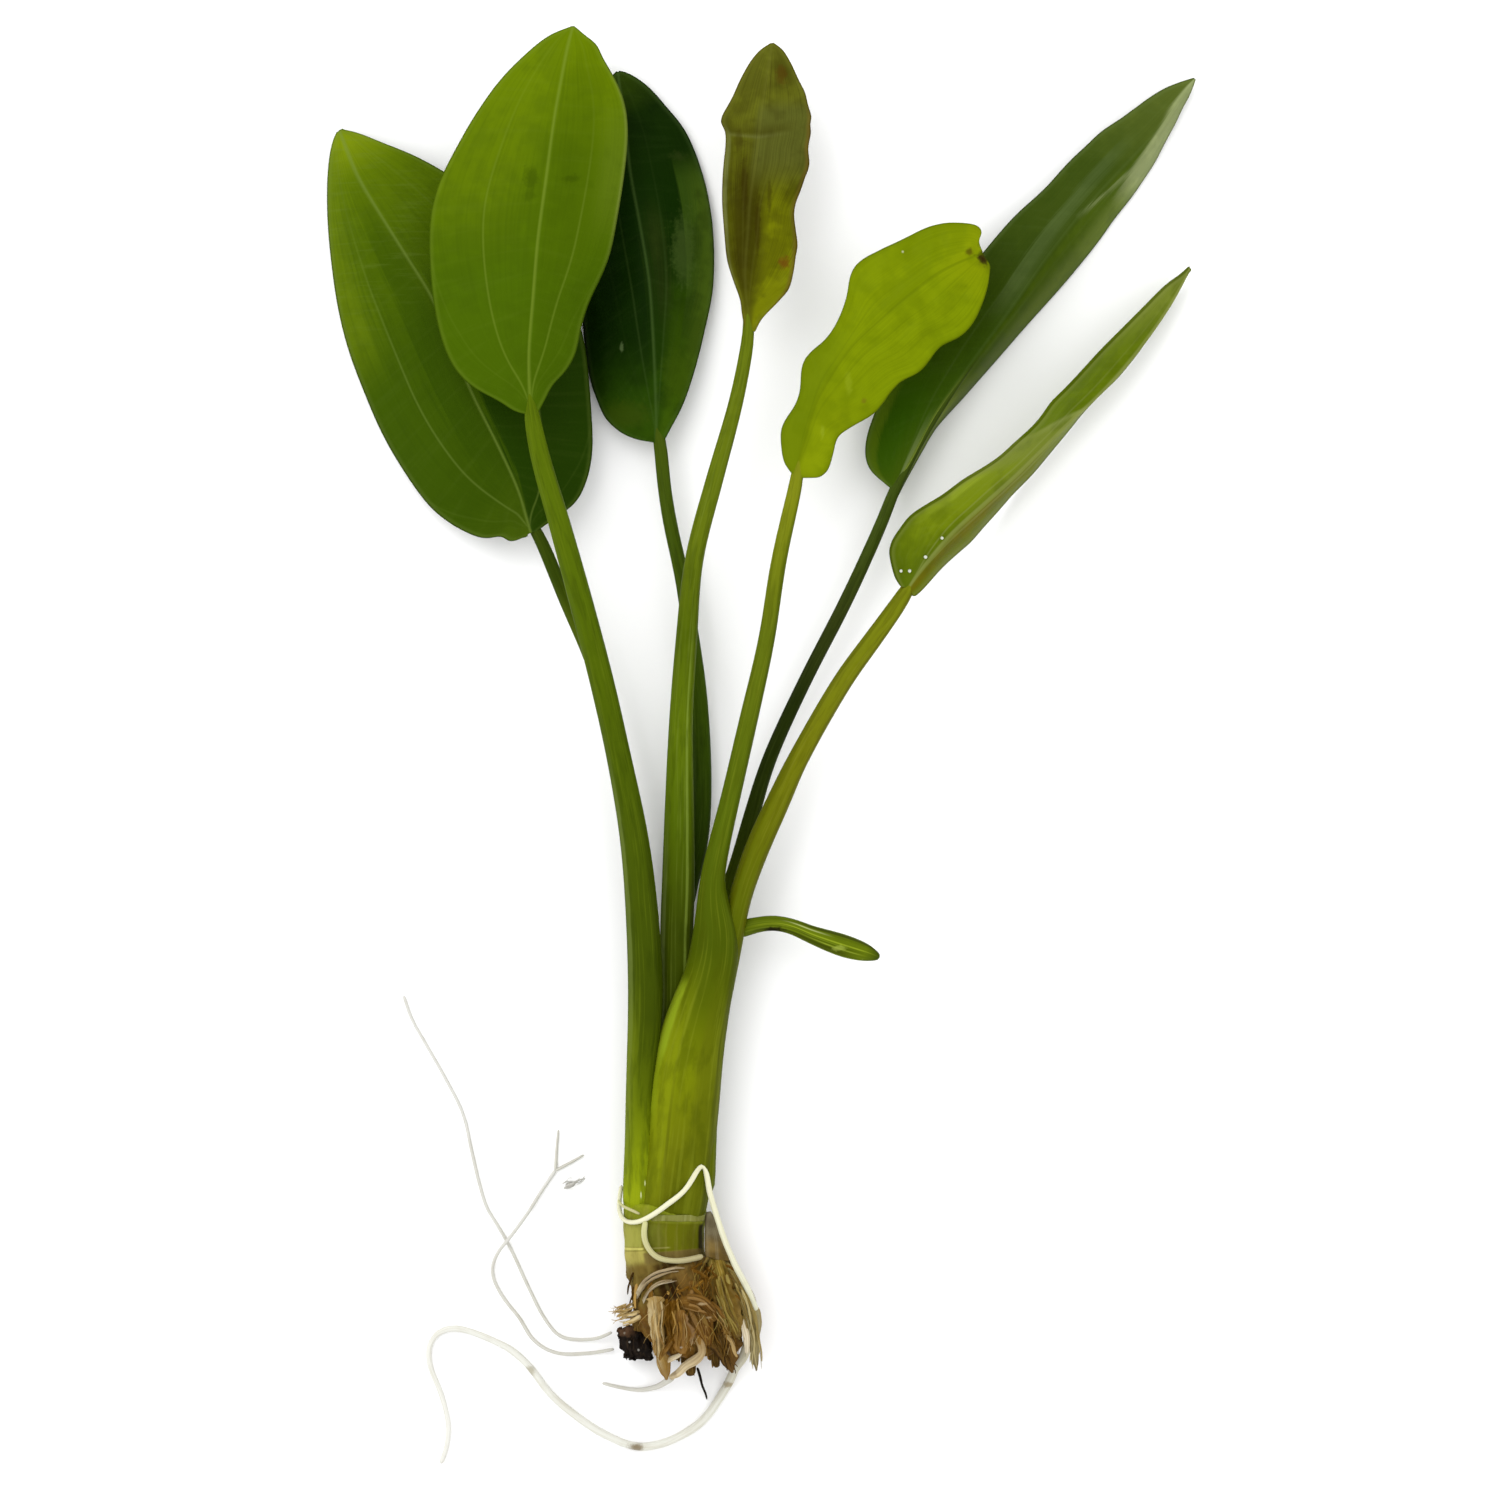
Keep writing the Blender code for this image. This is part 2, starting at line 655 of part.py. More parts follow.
def at_distance(stations: tuple[Station, ...], distances: list[float], s: float) -> Station:
    """The station at distance s on the smooth curve through all stations (cubic Hermite)."""
    last = len(stations) - 1
    i = next((k for k in range(last) if s <= distances[k + 1]), last - 1)
    span = distances[i + 1] - distances[i]
    u = min(1.0, max(0.0, (s - distances[i]) / span))

    def slope(k: int, column: int) -> float:
        before, after = max(0, k - 1), min(last, k + 1)
        rise = stations[after][column] - stations[before][column]
        return rise / (distances[after] - distances[before])

    weights = (
        2 * u**3 - 3 * u**2 + 1,
        (u**3 - 2 * u**2 + u) * span,
        -2 * u**3 + 3 * u**2,
        (u**3 - u**2) * span,
    )
    return tuple(
        weights[0] * stations[i][c]
        + weights[1] * slope(i, c)
        + weights[2] * stations[i + 1][c]
        + weights[3] * slope(i + 1, c)
        for c in range(len(stations[0]))
    )


def resample(stations: tuple[Station, ...], count: int, crowd_ends: float = 0.0) -> list[Station]:
    """count stations along the smooth curve, even, or closer together at both ends."""
    distances = along(stations)
    steps = [i / (count - 1) for i in range(count)]
    shares = [t - crowd_ends * math.sin(2 * math.pi * t) / (2 * math.pi) for t in steps]
    return [at_distance(stations, distances, share * distances[-1]) for share in shares]


def heading(stations: list[Station], i: int) -> Vector:
    """The direction of the route at one of its stations."""
    before, after = stations[max(0, i - 1)], stations[min(len(stations) - 1, i + 1)]
    return (Vector(after[:3]) - Vector(before[:3])).normalized()


def finish_object(name: str, mesh: bpy.types.Mesh, colour: Colour) -> bpy.types.Object:
    """Puts a finished mesh in the scene under its piece's name."""
    mesh.materials.append(material(name, colour, LEAF_ROUGHNESS))
    mesh.shade_smooth()
    obj = bpy.data.objects.new(name, mesh)
    bpy.context.scene.collection.objects.link(obj)
    return obj


def make_stem(name: str, stations: tuple[Station, ...], rings: int, colour: Colour,
              sides: int = STEM_SIDES) -> None:
    """A closed stem whose oval section changes from station to station."""
    bm = bmesh.new()
    route = resample(stations, rings)
    loops = []
    for i, (x, y, z, half_width, half_height) in enumerate(route):
        forward = heading(route, i)
        side = forward.cross(Vector((0, 0, 1))).normalized()
        up = side.cross(forward)
        loop = []
        for k in range(sides):
            angle = 2 * math.pi * k / sides
            out = side * half_width * math.cos(angle) + up * half_height * math.sin(angle)
            loop.append(bm.verts.new(place(x + out.x, y + out.y, z + out.z)))
        loops.append(loop)
    for near, far in zip(loops, loops[1:]):
        for k in range(sides):
            n = (k + 1) % sides
            bm.faces.new((near[k], near[n], far[n], far[k]))
    bm.faces.new(loops[0])
    bm.faces.new(reversed(loops[-1]))
    bmesh.ops.recalc_face_normals(bm, faces=bm.faces)
    mesh = bpy.data.meshes.new(name)
    bm.to_mesh(mesh)
    bm.free()
    finish_object(name, mesh, colour)


def make_blade(name: str, stations: tuple[Station, ...], colour: Colour, rows: int = BLADE_ROWS,
               columns: int = BLADE_COLUMNS, thickness: float = BLADE_THICKNESS) -> None:
    """A thin leaf blade: a grid shaped to its outline and its slope, then thickened evenly.

    A margin that would reach below the surface lies flat on it.
    """
    bm = bmesh.new()
    bmesh.ops.create_grid(bm, x_segments=columns, y_segments=rows - 1, size=0.5)
    route = resample(stations, rows, crowd_ends=0.75)
    for vert in bm.verts:
        row = round((vert.co.y + 0.5) * (rows - 1))
        across = vert.co.x * 2
        x, y, z, left, right, drop_left, drop_right = route[row]
        forward = heading(route, row)
        side = Vector((forward.y, -forward.x, 0)).normalized()
        reach, drop = (right, drop_right) if across > 0 else (left, drop_left)
        spot = Vector((x, y, z)) + side * reach * across
        spot.z = max(thickness / 2, spot.z - drop * abs(across) ** 1.3)
        vert.co = place(*spot)
    bmesh.ops.recalc_face_normals(bm, faces=bm.faces)
    mesh = bpy.data.meshes.new(name)
    bm.to_mesh(mesh)
    bm.free()
    obj = finish_object(name, mesh, colour)
    solidify = obj.modifiers.new("thickness", "SOLIDIFY")
    solidify.thickness = thickness * MM
    solidify.offset = 0


def make_root(root: Root, spacing: float) -> None:
    """A root as a round bevelled curve that tapers from one end to the other.

    Where it would reach below the surface, it lies on it.
    """
    lowest = math.cos(math.pi / ROOT_SIDES)
    distances = along(root.route)
    count = max(4, round(distances[-1] / spacing) + 1)
    route = resample(root.route, count)
    curve = bpy.data.curves.new(root.name, "CURVE")
    curve.dimensions = "3D"
    curve.twist_mode = "Z_UP"
    curve.bevel_depth = root.start_radius * MM
    curve.bevel_resolution = ROOT_SIDES // 2 - 2
    curve.use_fill_caps = True
    spline = curve.splines.new("POLY")
    spline.points.add(count - 1)
    for i, (point, station) in enumerate(zip(spline.points, route)):
        share = i / (count - 1)
        radius = root.start_radius + (root.end_radius - root.start_radius) * share
        x, y, z = station[:3]
        point.co = (*place(x, y, max(z, radius * lowest)), 1)
        point.radius = radius / root.start_radius
    curve.materials.append(material(root.name, root.colour, ROOT_ROUGHNESS))
    obj = bpy.data.objects.new(root.name, curve)
    bpy.context.scene.collection.objects.link(obj)


def make_lump(name: str, centre: Station, radii: Station, roughness: float, seed: int,
              colour: Colour) -> None:
    """An uneven closed lump: a ball with its points pushed in and out by a fixed random amount."""
    bm = bmesh.new()
    bmesh.ops.create_icosphere(bm, subdivisions=2, radius=1)
    pushes = random.Random(seed)
    for vert in bm.verts:
        push = 1 - roughness * pushes.random()
        spot = [centre[i] + radii[i] * vert.co[i] * push for i in range(3)]
        vert.co = place(spot[0], spot[1], max(0.0, spot[2]))
    mesh = bpy.data.meshes.new(name)
    bm.to_mesh(mesh)
    bm.free()
    finish_object(name, mesh, colour)


def main() -> None:
    """Builds the plant from the crown out."""
    clear_scene()
    for leaf in LEAVES:
        make_stem(leaf.name + "_stem", leaf.stem, STEM_RINGS, leaf.stem_colour)
        make_blade(leaf.name + "_blade", leaf.blade, leaf.blade_colour)
    make_stem("young_leaf", YOUNG_LEAF, YOUNG_LEAF_RINGS, BRIGHT_GREEN)
    make_stem("crown", CROWN, CROWN_RINGS, CROWN_GREEN, sides=CROWN_SIDES)
    make_blade("dry_sheath", DRY_SHEATH, BROWN, SHEATH_ROWS, SHEATH_COLUMNS, SHEATH_THICKNESS)
    for root in LONG_ROOTS:
        make_root(root, ROOT_POINT_SPACING)
    for root in ROOT_STUBS:
        make_root(root, STUB_POINT_SPACING)
    make_lump("dark_clump", CLUMP_CENTRE, CLUMP_RADII, 0.18, 3, BLACK)
    make_lump("root_skin_flake", FLAKE_CENTRE, FLAKE_RADII, 0.2, 5, IVORY)


main()
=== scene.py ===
"""Dresses the laid-down sword plant: leaves, stems, crown, roots, and a plain studio round it.

Lengths are in millimetres where a name or a comment doesn't say otherwise. The stations are drawn as
they look from the eye straight above the plant, as in the part's own source, and place() turns them
into true places, in metres.
"""

import logging
import math
import random
from collections.abc import Callable, Iterable, Sequence
from dataclasses import dataclass, field
from enum import Enum

import bmesh
import bpy
import numpy as np
from mathutils import Matrix, Vector


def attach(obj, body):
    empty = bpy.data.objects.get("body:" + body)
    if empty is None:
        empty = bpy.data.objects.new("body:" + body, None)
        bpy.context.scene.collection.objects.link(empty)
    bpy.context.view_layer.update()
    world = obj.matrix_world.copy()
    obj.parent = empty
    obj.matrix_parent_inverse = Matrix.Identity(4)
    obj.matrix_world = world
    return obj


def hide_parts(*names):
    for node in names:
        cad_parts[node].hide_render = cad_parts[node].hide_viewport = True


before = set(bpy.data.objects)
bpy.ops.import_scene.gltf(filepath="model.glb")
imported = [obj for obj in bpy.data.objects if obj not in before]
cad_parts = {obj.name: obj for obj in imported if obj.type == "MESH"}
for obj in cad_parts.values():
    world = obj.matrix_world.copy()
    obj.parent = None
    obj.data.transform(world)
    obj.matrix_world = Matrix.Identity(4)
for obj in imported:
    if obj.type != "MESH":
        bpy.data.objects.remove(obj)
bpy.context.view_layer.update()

log = logging.getLogger("plant")

MM = 0.001
EYE = (-2.3, -1.0, 1500.0)
BOX_CENTRE = (0.55, -0.95)
FRAME_WIDTH = 300.0  # what the camera sees of the surface, across the picture
LIGHT = 1.55  # how brightly the studio lights a level white surface
SENSOR_WIDTH = 36.0
LEAST_WEIGHT = 0.001
ROOT_BODY = "root"

TORN_RIDGES = {0: 1.06, 2: 0.92, 4: 1.06, 7: 0.9, 9: 1.05, 12: 0.92}
SOFT_RIDGES = {0: 1.05, 2: 0.97, 4: 1.03, 7: 0.98, 10: 1.06, 12: 0.95, 14: 1.04, 16: 0.97, 18: 1.03}
FIBRE_RIDGES = {0: 1.1, 2: 0.85, 4: 1.15}

Socket = bpy.types.NodeSocket
Piece = bpy.types.Object
Sockets = dict[str, Socket]
Colour = int  # as it looks in the studio's light, as 0xRRGGBB
Station = tuple[float, ...]
Tones = tuple[tuple[float, Colour], ...]


class Slot(Enum):
    """The record's material slots."""

    BRIGHT_LEAF = "bright_leaf"
    DEEP_LEAF = "deep_leaf"
    BRONZE_LEAF = "bronze_leaf"
    STEM = "stem"
    CROWN = "crown"
    DRY_SHEATH = "dry_sheath"
    ROOT_STUB = "root_stub"
    WHITE_ROOT = "white_root"
    SOIL = "soil"


def place(x: float, y: float, z: float) -> Vector:
    """Turns a drawn point into its true place.

    Args:
        x, y: where the point is seen from the eye, measured on the surface.
        z: its height above the surface.

    Returns:
        The point in metres, in the part's frame.
    """
    shrink = 1 - z / EYE[2]
    true_x = EYE[0] + (x - EYE[0]) * shrink
    true_y = EYE[1] + (y - EYE[1]) * shrink
    return Vector((true_x - BOX_CENTRE[0], true_y - BOX_CENTRE[1], z)) * MM


def surface_colour(seen: Colour) -> tuple[float, ...]:
    """Turns a colour as it looks in the studio's light into the surface's own.

    Args:
        seen: the colour, as 0xRRGGBB.

    Returns:
        Its linear red, green and blue, and an alpha of 1.
    """
    shares = [(seen >> shift & 255) / 255 for shift in (16, 8, 0)]
    linear = [s / 12.92 if s <= 0.04045 else ((s + 0.055) / 1.055) ** 2.4 for s in shares]
    return (*(level / LIGHT for level in linear), 1.0)


class Route:
    """A smooth line through stations, each with its place and any sizes that go with it."""

    def __init__(self, stations: Sequence[Station]) -> None:
        """Measures the line.

        Args:
            stations: tuples that start with x, y and z.
        """
        self.stations = stations
        self.distances = [0.0]
        for a, b in zip(stations, stations[1:]):
            self.distances.append(self.distances[-1] + (Vector(b[:3]) - Vector(a[:3])).length)
        self.length = self.distances[-1]

    def _slope(self, k: int, column: int) -> float:
        """How fast a value changes at a station.

        Args:
            k: the station's number.
            column: which of its values.

        Returns:
            The change for each millimetre along the line.
        """
        before, after = max(0, k - 1), min(len(self.stations) - 1, k + 1)
        rise = self.stations[after][column] - self.stations[before][column]
        return rise / (self.distances[after] - self.distances[before])

    def at(self, share: float) -> Station:
        """Reads the line at a share of its length, from 0 to 1.

        Args:
            share: how far along.

        Returns:
            All values of the station there.
        """
        s = min(1.0, max(0.0, share)) * self.length
        last = len(self.stations) - 1
        i = next((k for k in range(last) if s <= self.distances[k + 1]), last - 1)
        span = self.distances[i + 1] - self.distances[i]
        u = (s - self.distances[i]) / span
        weights = (
            2 * u**3 - 3 * u**2 + 1,
            (u**3 - 2 * u**2 + u) * span,
            -2 * u**3 + 3 * u**2,
            (u**3 - u**2) * span,
        )
        near, far = self.stations[i], self.stations[i + 1]
        return tuple(
            weights[0] * near[c] + weights[1] * self._slope(i, c)
            + weights[2] * far[c] + weights[3] * self._slope(i + 1, c)
            for c in range(len(near))
        )

    def heading(self, share: float, step: float = 0.01) -> Vector:
        """The line's direction at a share of its length."""
        before, after = self.at(share - step), self.at(share + step)
        return (Vector(after[:3]) - Vector(before[:3])).normalized()


class Bench:
    """The hand tools: each method is one step in edit mode on the piece that is being made."""

    def __init__(self, piece: Piece) -> None:
        """Takes a fresh primitive into edit mode.

        Args:
            piece: the object to shape.
        """
        self.piece = piece
        bpy.ops.object.mode_set(mode="EDIT")
        bpy.ops.mesh.select_mode(type="VERT")

    @staticmethod
    def clear() -> None:
        """Leaves nothing selected before a new primitive is added."""
        bpy.ops.object.select_all(action="DESELECT")

    def pick(self, wanted: Callable[[bmesh.types.BMVert], bool]) -> None:
        """Selects vertices.

        Args:
            wanted: the test that a vertex has to pass.
        """
        mesh = bmesh.from_edit_mesh(self.piece.data)
        for vert in mesh.verts:
            vert.select = wanted(vert)
        mesh.select_flush_mode()
        bmesh.update_edit_mesh(self.piece.data)

    def pick_numbers(self, numbers: Iterable[int]) -> None:
        """Selects vertices by their numbers in a primitive, whose order is known."""
        chosen = set(numbers)
        self.pick(lambda vert: vert.index in chosen)

    def move(self, offset: Sequence[float]) -> None:
        """Moves what is selected, in metres."""
        bpy.ops.transform.translate(value=tuple(offset))

    def scale(self, factors: Sequence[float], centre: Sequence[float]) -> None:
        """Scales what is selected about a centre."""
        bpy.ops.transform.resize(value=tuple(factors), center_override=tuple(centre))

    def turn(self, angle: float, axis: str, centre: Sequence[float]) -> None:
        """Turns what is selected by the right-hand rule; without a window the operator turns it back."""
        bpy.ops.transform.rotate(value=-angle, orient_axis=axis, center_override=tuple(centre))

    def done(self) -> Piece:
        """Recalculates the normals outwards and leaves edit mode.

        Returns:
            The shaped piece.
        """
        bpy.ops.mesh.select_all(action="SELECT")
        bpy.ops.mesh.normals_make_consistent(inside=False)
        bpy.ops.object.mode_set(mode="OBJECT")
        return self.piece


def apply_modifier(piece: Piece, kind: str, **settings: object) -> None:
    """Adds a modifier with these settings and applies it.

    Args:
        piece: the object that gets it.
        kind: Blender's type name, such as "SOLIDIFY".
        settings: the modifier's own properties.
    """
    bpy.context.view_layer.objects.active = piece
    modifier = piece.modifiers.new(kind.lower(), kind)
    for name, value in settings.items():
        setattr(modifier, name, value)
    bpy.ops.object.modifier_apply(modifier=modifier.name)


def smooth_surface(piece: Piece, levels: int) -> None:
    """Rounds a cage into a smooth surface, with an even texture map."""
    apply_modifier(piece, "SUBSURF", levels=levels, render_levels=levels, uv_smooth="NONE")


def weigh(piece: Piece, name: str, weights: np.ndarray) -> None:
    """Stores a vertex group.

    Args:
        piece: the object that gets it.
        name: the group's name.
        weights: a share from 0 to 1 for each vertex.
    """
    group = piece.vertex_groups.new(name=name)
    for number, weight in enumerate(weights):
        if weight > LEAST_WEIGHT:
            group.add([number], float(weight), "REPLACE")


def vertex_uv(piece: Piece) -> np.ndarray:
    """Reads the texture map.

    Args:
        piece: the object that has it.

    Returns:
        The u and v of each vertex.
    """
    mesh = piece.data
    owners = np.zeros(len(mesh.loops), np.int32)
    mesh.loops.foreach_get("vertex_index", owners)
    flat = np.zeros(len(mesh.loops) * 2, np.float32)
    mesh.uv_layers.active.data.foreach_get("uv", flat)
    spots = np.zeros((len(mesh.vertices), 2))
    spots[owners] = flat.reshape(-1, 2)
    return spots


def store_vector(piece: Piece, name: str, values: np.ndarray) -> None:
    """Stores three numbers for each vertex, for materials to read."""
    attribute = piece.data.attributes.new(name, "FLOAT_VECTOR", "POINT")
    attribute.data.foreach_set("vector", values.astype(np.float32).ravel())


def joined(pieces: Sequence[Piece]) -> Piece:
    """Makes one mesh of several pieces, in the frame's own axes.

    Args:
        pieces: the objects to join.

    Returns:
        The joined object.
    """
    Bench.clear()
    for piece in pieces:
        piece.select_set(True)
    bpy.context.view_layer.objects.active = pieces[0]
    bpy.ops.object.join()
    bpy.ops.object.transform_apply(location=True, rotation=True, scale=True)
    return bpy.context.object


def store_tone(piece: Piece, tone: float) -> None:
    """Stores how dark (-1) or light (1) a fibre is among its neighbours."""
    store_vector(piece, "fibre_tone", np.tile((tone, 0.0, 0.0), (len(piece.data.vertices), 1)))


def copied(template: Piece, placed: Matrix) -> Piece:
    """Copies an object, with a mesh of its own.

    Args:
        template: the object.
        placed: the copy's place, turn and size.

    Returns:
        The copy.
    """
    copy = template.copy()
    copy.data = template.data.copy()
    copy.matrix_world = placed
    bpy.context.scene.collection.objects.link(copy)
    return copy


def bent_grid(columns: int, rows: int, spot: Callable[[int, int], Vector]) -> Piece:
    """Adds a flat grid and moves its points, row by row, to their places.

    Args:
        columns, rows: how many points it has across and along.
        spot: gives the place of the point in a column and a row.

    Returns:
        The shaped piece.
    """
    Bench.clear()
    bpy.ops.mesh.primitive_grid_add(x_subdivisions=columns - 1, y_subdivisions=rows - 1, size=2)
    bench = Bench(bpy.context.object)
    for row in range(rows):
        for column in range(columns):
            flat = Vector((2 * column / (columns - 1) - 1, 2 * row / (rows - 1) - 1, 0))
            bench.pick_numbers([row * columns + column])
            bench.move(spot(column, row) - flat)
    return bench.done()


def finish_piece(piece: Piece, name: str, material: bpy.types.Material,
                 nodes: Sequence[str] = ()) -> Piece:
    """Names, dresses and files a finished piece.

    Args:
        piece: the object.
        name: its name in the scene.
        material: its surface.
        nodes: the solids of the frame that it stands for.

    Returns:
        The same object.
    """
    piece.name = name
    piece.data.name = name
    piece.data.materials.clear()
    piece.data.materials.append(material)
    piece.data.shade_smooth()
    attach(piece, ROOT_BODY)
    if nodes:
        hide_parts(*nodes)
    log.info("%s: %d faces", name, len(piece.data.polygons))
    return piece


class Graph:
    """A node tree that is being written, with short ways to add what is used most."""

    def __init__(self, tree: bpy.types.NodeTree) -> None:
        """Takes the tree to write in."""
        self.tree = tree

    def add(self, kind: str, inputs: dict[str | int, object] | None = None,
            **settings: object) -> bpy.types.Node:
        """Adds a node.

        Args:
            kind: Blender's type name without its "ShaderNode" start.
            inputs: values or sockets for its inputs, by name or number.
            settings: the node's own properties.

        Returns:
            The node.
        """
        node = self.tree.nodes.new("ShaderNode" + kind)
        for name, value in settings.items():
            setattr(node, name, value)
        for name, value in (inputs or {}).items():
            self.feed(node.inputs[name], value)
        return node

    def feed(self, socket: Socket, value: object) -> None:
        """Gives an input what it works with.

        Args:
            socket: the input.
            value: a socket to link to it, or a value, which for a colour may be a Colour.
        """
        if isinstance(value, Socket):
            self.tree.links.new(value, socket)
        elif isinstance(value, Colour) and socket.type == "RGBA":
            socket.default_value = surface_colour(value)
        else:
            socket.default_value = value

    def math(self, operation: str, *values: object, clamp: bool = False) -> Socket:
        """Works out a value from one, two or three others."""
        node = self.add("Math", dict(enumerate(values)), operation=operation, use_clamp=clamp)
        return node.outputs[0]

    def times(self, first: object, second: object) -> Socket:
        """The product of two values."""
        return self.math("MULTIPLY", first, second)

    def plus(self, first: object, second: object) -> Socket:
        """The sum of two values."""
        return self.math("ADD", first, second)

    def minus(self, first: object, second: object, clamp: bool = False) -> Socket:
        """The difference of two values."""
        return self.math("SUBTRACT", first, second, clamp=clamp)

    def fade(self, value: object, low: object, high: object, start: object = 0.0,
             end: object = 1.0) -> Socket:
        """A smooth change from start to end while a value goes from low to high."""
        inputs = {"Value": value, "From Min": low, "From Max": high, "To Min": start, "To Max": end}
        return self.add("MapRange", inputs, interpolation_type="SMOOTHSTEP").outputs["Result"]

    def blend(self, share: object, first: object, second: object, how: str = "MIX") -> Socket:
        """Mixes two colours."""
        node = self.add("Mix", {0: share, 6: first, 7: second}, data_type="RGBA", blend_type=how)
        return node.outputs[2]

    def veil(self, colour: Socket, value: object, low: float, high: float, cover: object,
             tint: Colour) -> Socket:
        """Lays a tint over a colour as a value goes from low to high."""
        return self.blend(self.fade(value, low, high, 0.0, cover), colour, tint)

    def ramp(self, value: object, tones: Tones) -> Socket:
        """A colour that goes from tone to tone.

        Args:
            value: what it goes along.
            tones: the values with their colours.

        Returns:
            The colour.
        """
        node = self.add("ValToRGB", {0: value})
        stops = node.color_ramp.elements
        for number, (spot, colour) in enumerate(tones):
            stop = stops[number] if number < 2 else stops.new(spot)
            stop.position = spot
            stop.color = surface_colour(colour)
        return node.outputs[0]

    def noise(self, vector: object, scale: object, detail: float = 3.0, roughness: float = 0.5) -> Socket:
        """A cloudy value about 0.5."""
        inputs = {"Vector": vector, "Scale": scale, "Detail": detail, "Roughness": roughness}
        return self.add("TexNoise", inputs).outputs[0]

    def read(self, name: str) -> tuple[Socket, ...]:
        """Reads what a piece stores for each vertex.

        Args:
            name: what it is stored as.

        Returns:
            Its three numbers.
        """
        source = self.add("Attribute", attribute_name=name, attribute_type="GEOMETRY")
        parts = self.add("SeparateXYZ", {0: source.outputs["Vector"]})
        return tuple(parts.outputs)

    def stretched(self, vector: object, factors: Sequence[float]) -> Socket:
        """A vector scaled along each of its axes."""
        return self.add("VectorMath", {0: vector, 1: factors}, operation="MULTIPLY").outputs[0]

    def use(self, group: bpy.types.NodeTree, **values: object) -> bpy.types.Node:
        """Places a shared effect.

        Args:
            group: the effect.
            values: its inputs by name, in small letters with _ for a space.

        Returns:
            The node.
        """
        node = self.add("Group", node_tree=group)
        for name, value in values.items():
            self.feed(node.inputs[name.replace("_", " ").title()], value)
        return node


def shared_effect(name: str, inputs: dict[str, float | None], outputs: Sequence[str],
                  write: Callable[[Graph, Sockets], Sockets]) -> bpy.types.NodeTree:
    """Builds a node group.

    Args:
        name: what the effect is called.
        inputs: its inputs with their usual values; a value of None makes a vector input.
        outputs: its outputs, all values.
        write: writes the nodes, given the graph and the inputs' sockets, and returns the outputs' sockets.

    Returns:
        The group.
    """
    tree = bpy.data.node_groups.new(name, "ShaderNodeTree")
    for label, value in inputs.items():
        kind = "NodeSocketVector" if value is None else "NodeSocketFloat"
        made = tree.interface.new_socket(label, in_out="INPUT", socket_type=kind)
        if value is not None:
            made.default_value = value
    for label in outputs:
        tree.interface.new_socket(label, in_out="OUTPUT", socket_type="NodeSocketFloat")
    graph = Graph(tree)
    start, end = tree.nodes.new("NodeGroupInput"), tree.nodes.new("NodeGroupOutput")
    results = write(graph, {label: start.outputs[label] for label in inputs})
    for label, socket in results.items():
        graph.feed(end.inputs[label], socket)
    return tree


def write_mottle(graph: Graph, given: Sockets) -> Sockets:
    """Cloudy tone differences at a coarse and a fine size.

    Args:
        graph: where the nodes go.
        given: the effect's inputs.

    Returns:
        The effect's outputs.
    """
    coarse = graph.noise(given["Vector"], given["Scale"], 4.0, 0.6)
    fine_scale = graph.times(given["Scale"], 5.3)
    fine = graph.noise(given["Vector"], fine_scale, 2.0)
    both = graph.plus(graph.times(coarse, 0.65), graph.times(fine, 0.35))
    middle = graph.minus(both, 0.5)
    return {"Value": graph.math("MULTIPLY_ADD", middle, given["Contrast"], 0.5, clamp=True)}


def write_veins(graph: Graph, given: Sockets) -> Sockets:
    """The midrib, the arching side veins, the fine lines between them and the faint rungs across.

    Args:
        graph: where the nodes go.
        given: the effect's inputs.

    Returns:
        The effect's outputs.
    """
    across, along, spacing = graph.read("vein_place")
    reach = graph.math("ABSOLUTE", across)
    to_midrib = graph.times(reach, spacing)
    midrib = graph.fade(to_midrib, 0.0, given["Midrib Width"], 1.0, 0.0)
    nearest = graph.math("ROUND", reach)
    to_side = graph.times(graph.math("ABSOLUTE", graph.minus(reach, nearest)), spacing)
    side = graph.fade(to_side, 0.0, given["Side Width"], 1.0, 0.0)
    is_side = graph.math("GREATER_THAN", nearest, 0.5)
    weaker = graph.math("DIVIDE", 1.0, graph.math("MAXIMUM", nearest, 1.0))
    share = graph.read("edge_place")[2]
    lasting = graph.fade(share, 0.35, 0.85, 1.0, 0.25)
    side = graph.times(graph.times(side, is_side), graph.math("POWER", weaker, 2.5))
    side = graph.times(side, lasting)
    spot = graph.add("CombineXYZ", {0: graph.times(across, 9.0), 1: graph.times(along, 0.03)})
    lines = graph.noise(spot.outputs[0], 1.6, 3.0, 0.6)
    bent = graph.math("MULTIPLY_ADD", reach, 1.2, along)
    rung_spot = graph.add("CombineXYZ", {0: graph.times(across, 0.5), 1: bent})
    rungs = graph.noise(rung_spot.outputs[0], 0.75, 2.0, 0.6)
    return {"Midrib": midrib, "Side": side, "Lines": lines, "Rungs": rungs}


def write_margin(graph: Graph, given: Sockets) -> Sockets:
    """The narrow band along a blade's margin, and places by half and by length.

    Args:
        graph: where the nodes go.
        given: the effect's inputs.

    Returns:
        The effect's outputs.
    """
    inward, half, share = graph.read("edge_place")
    edge = graph.fade(inward, 0.0, given["Width"], 1.0, 0.0)
    both = graph.fade(inward, given["Width"], graph.times(given["Width"], 3.0), 1.0, 0.0)
    rim = graph.minus(both, edge, clamp=True)
    return {"Edge": edge, "Rim": rim, "Half": half, "Share": share}


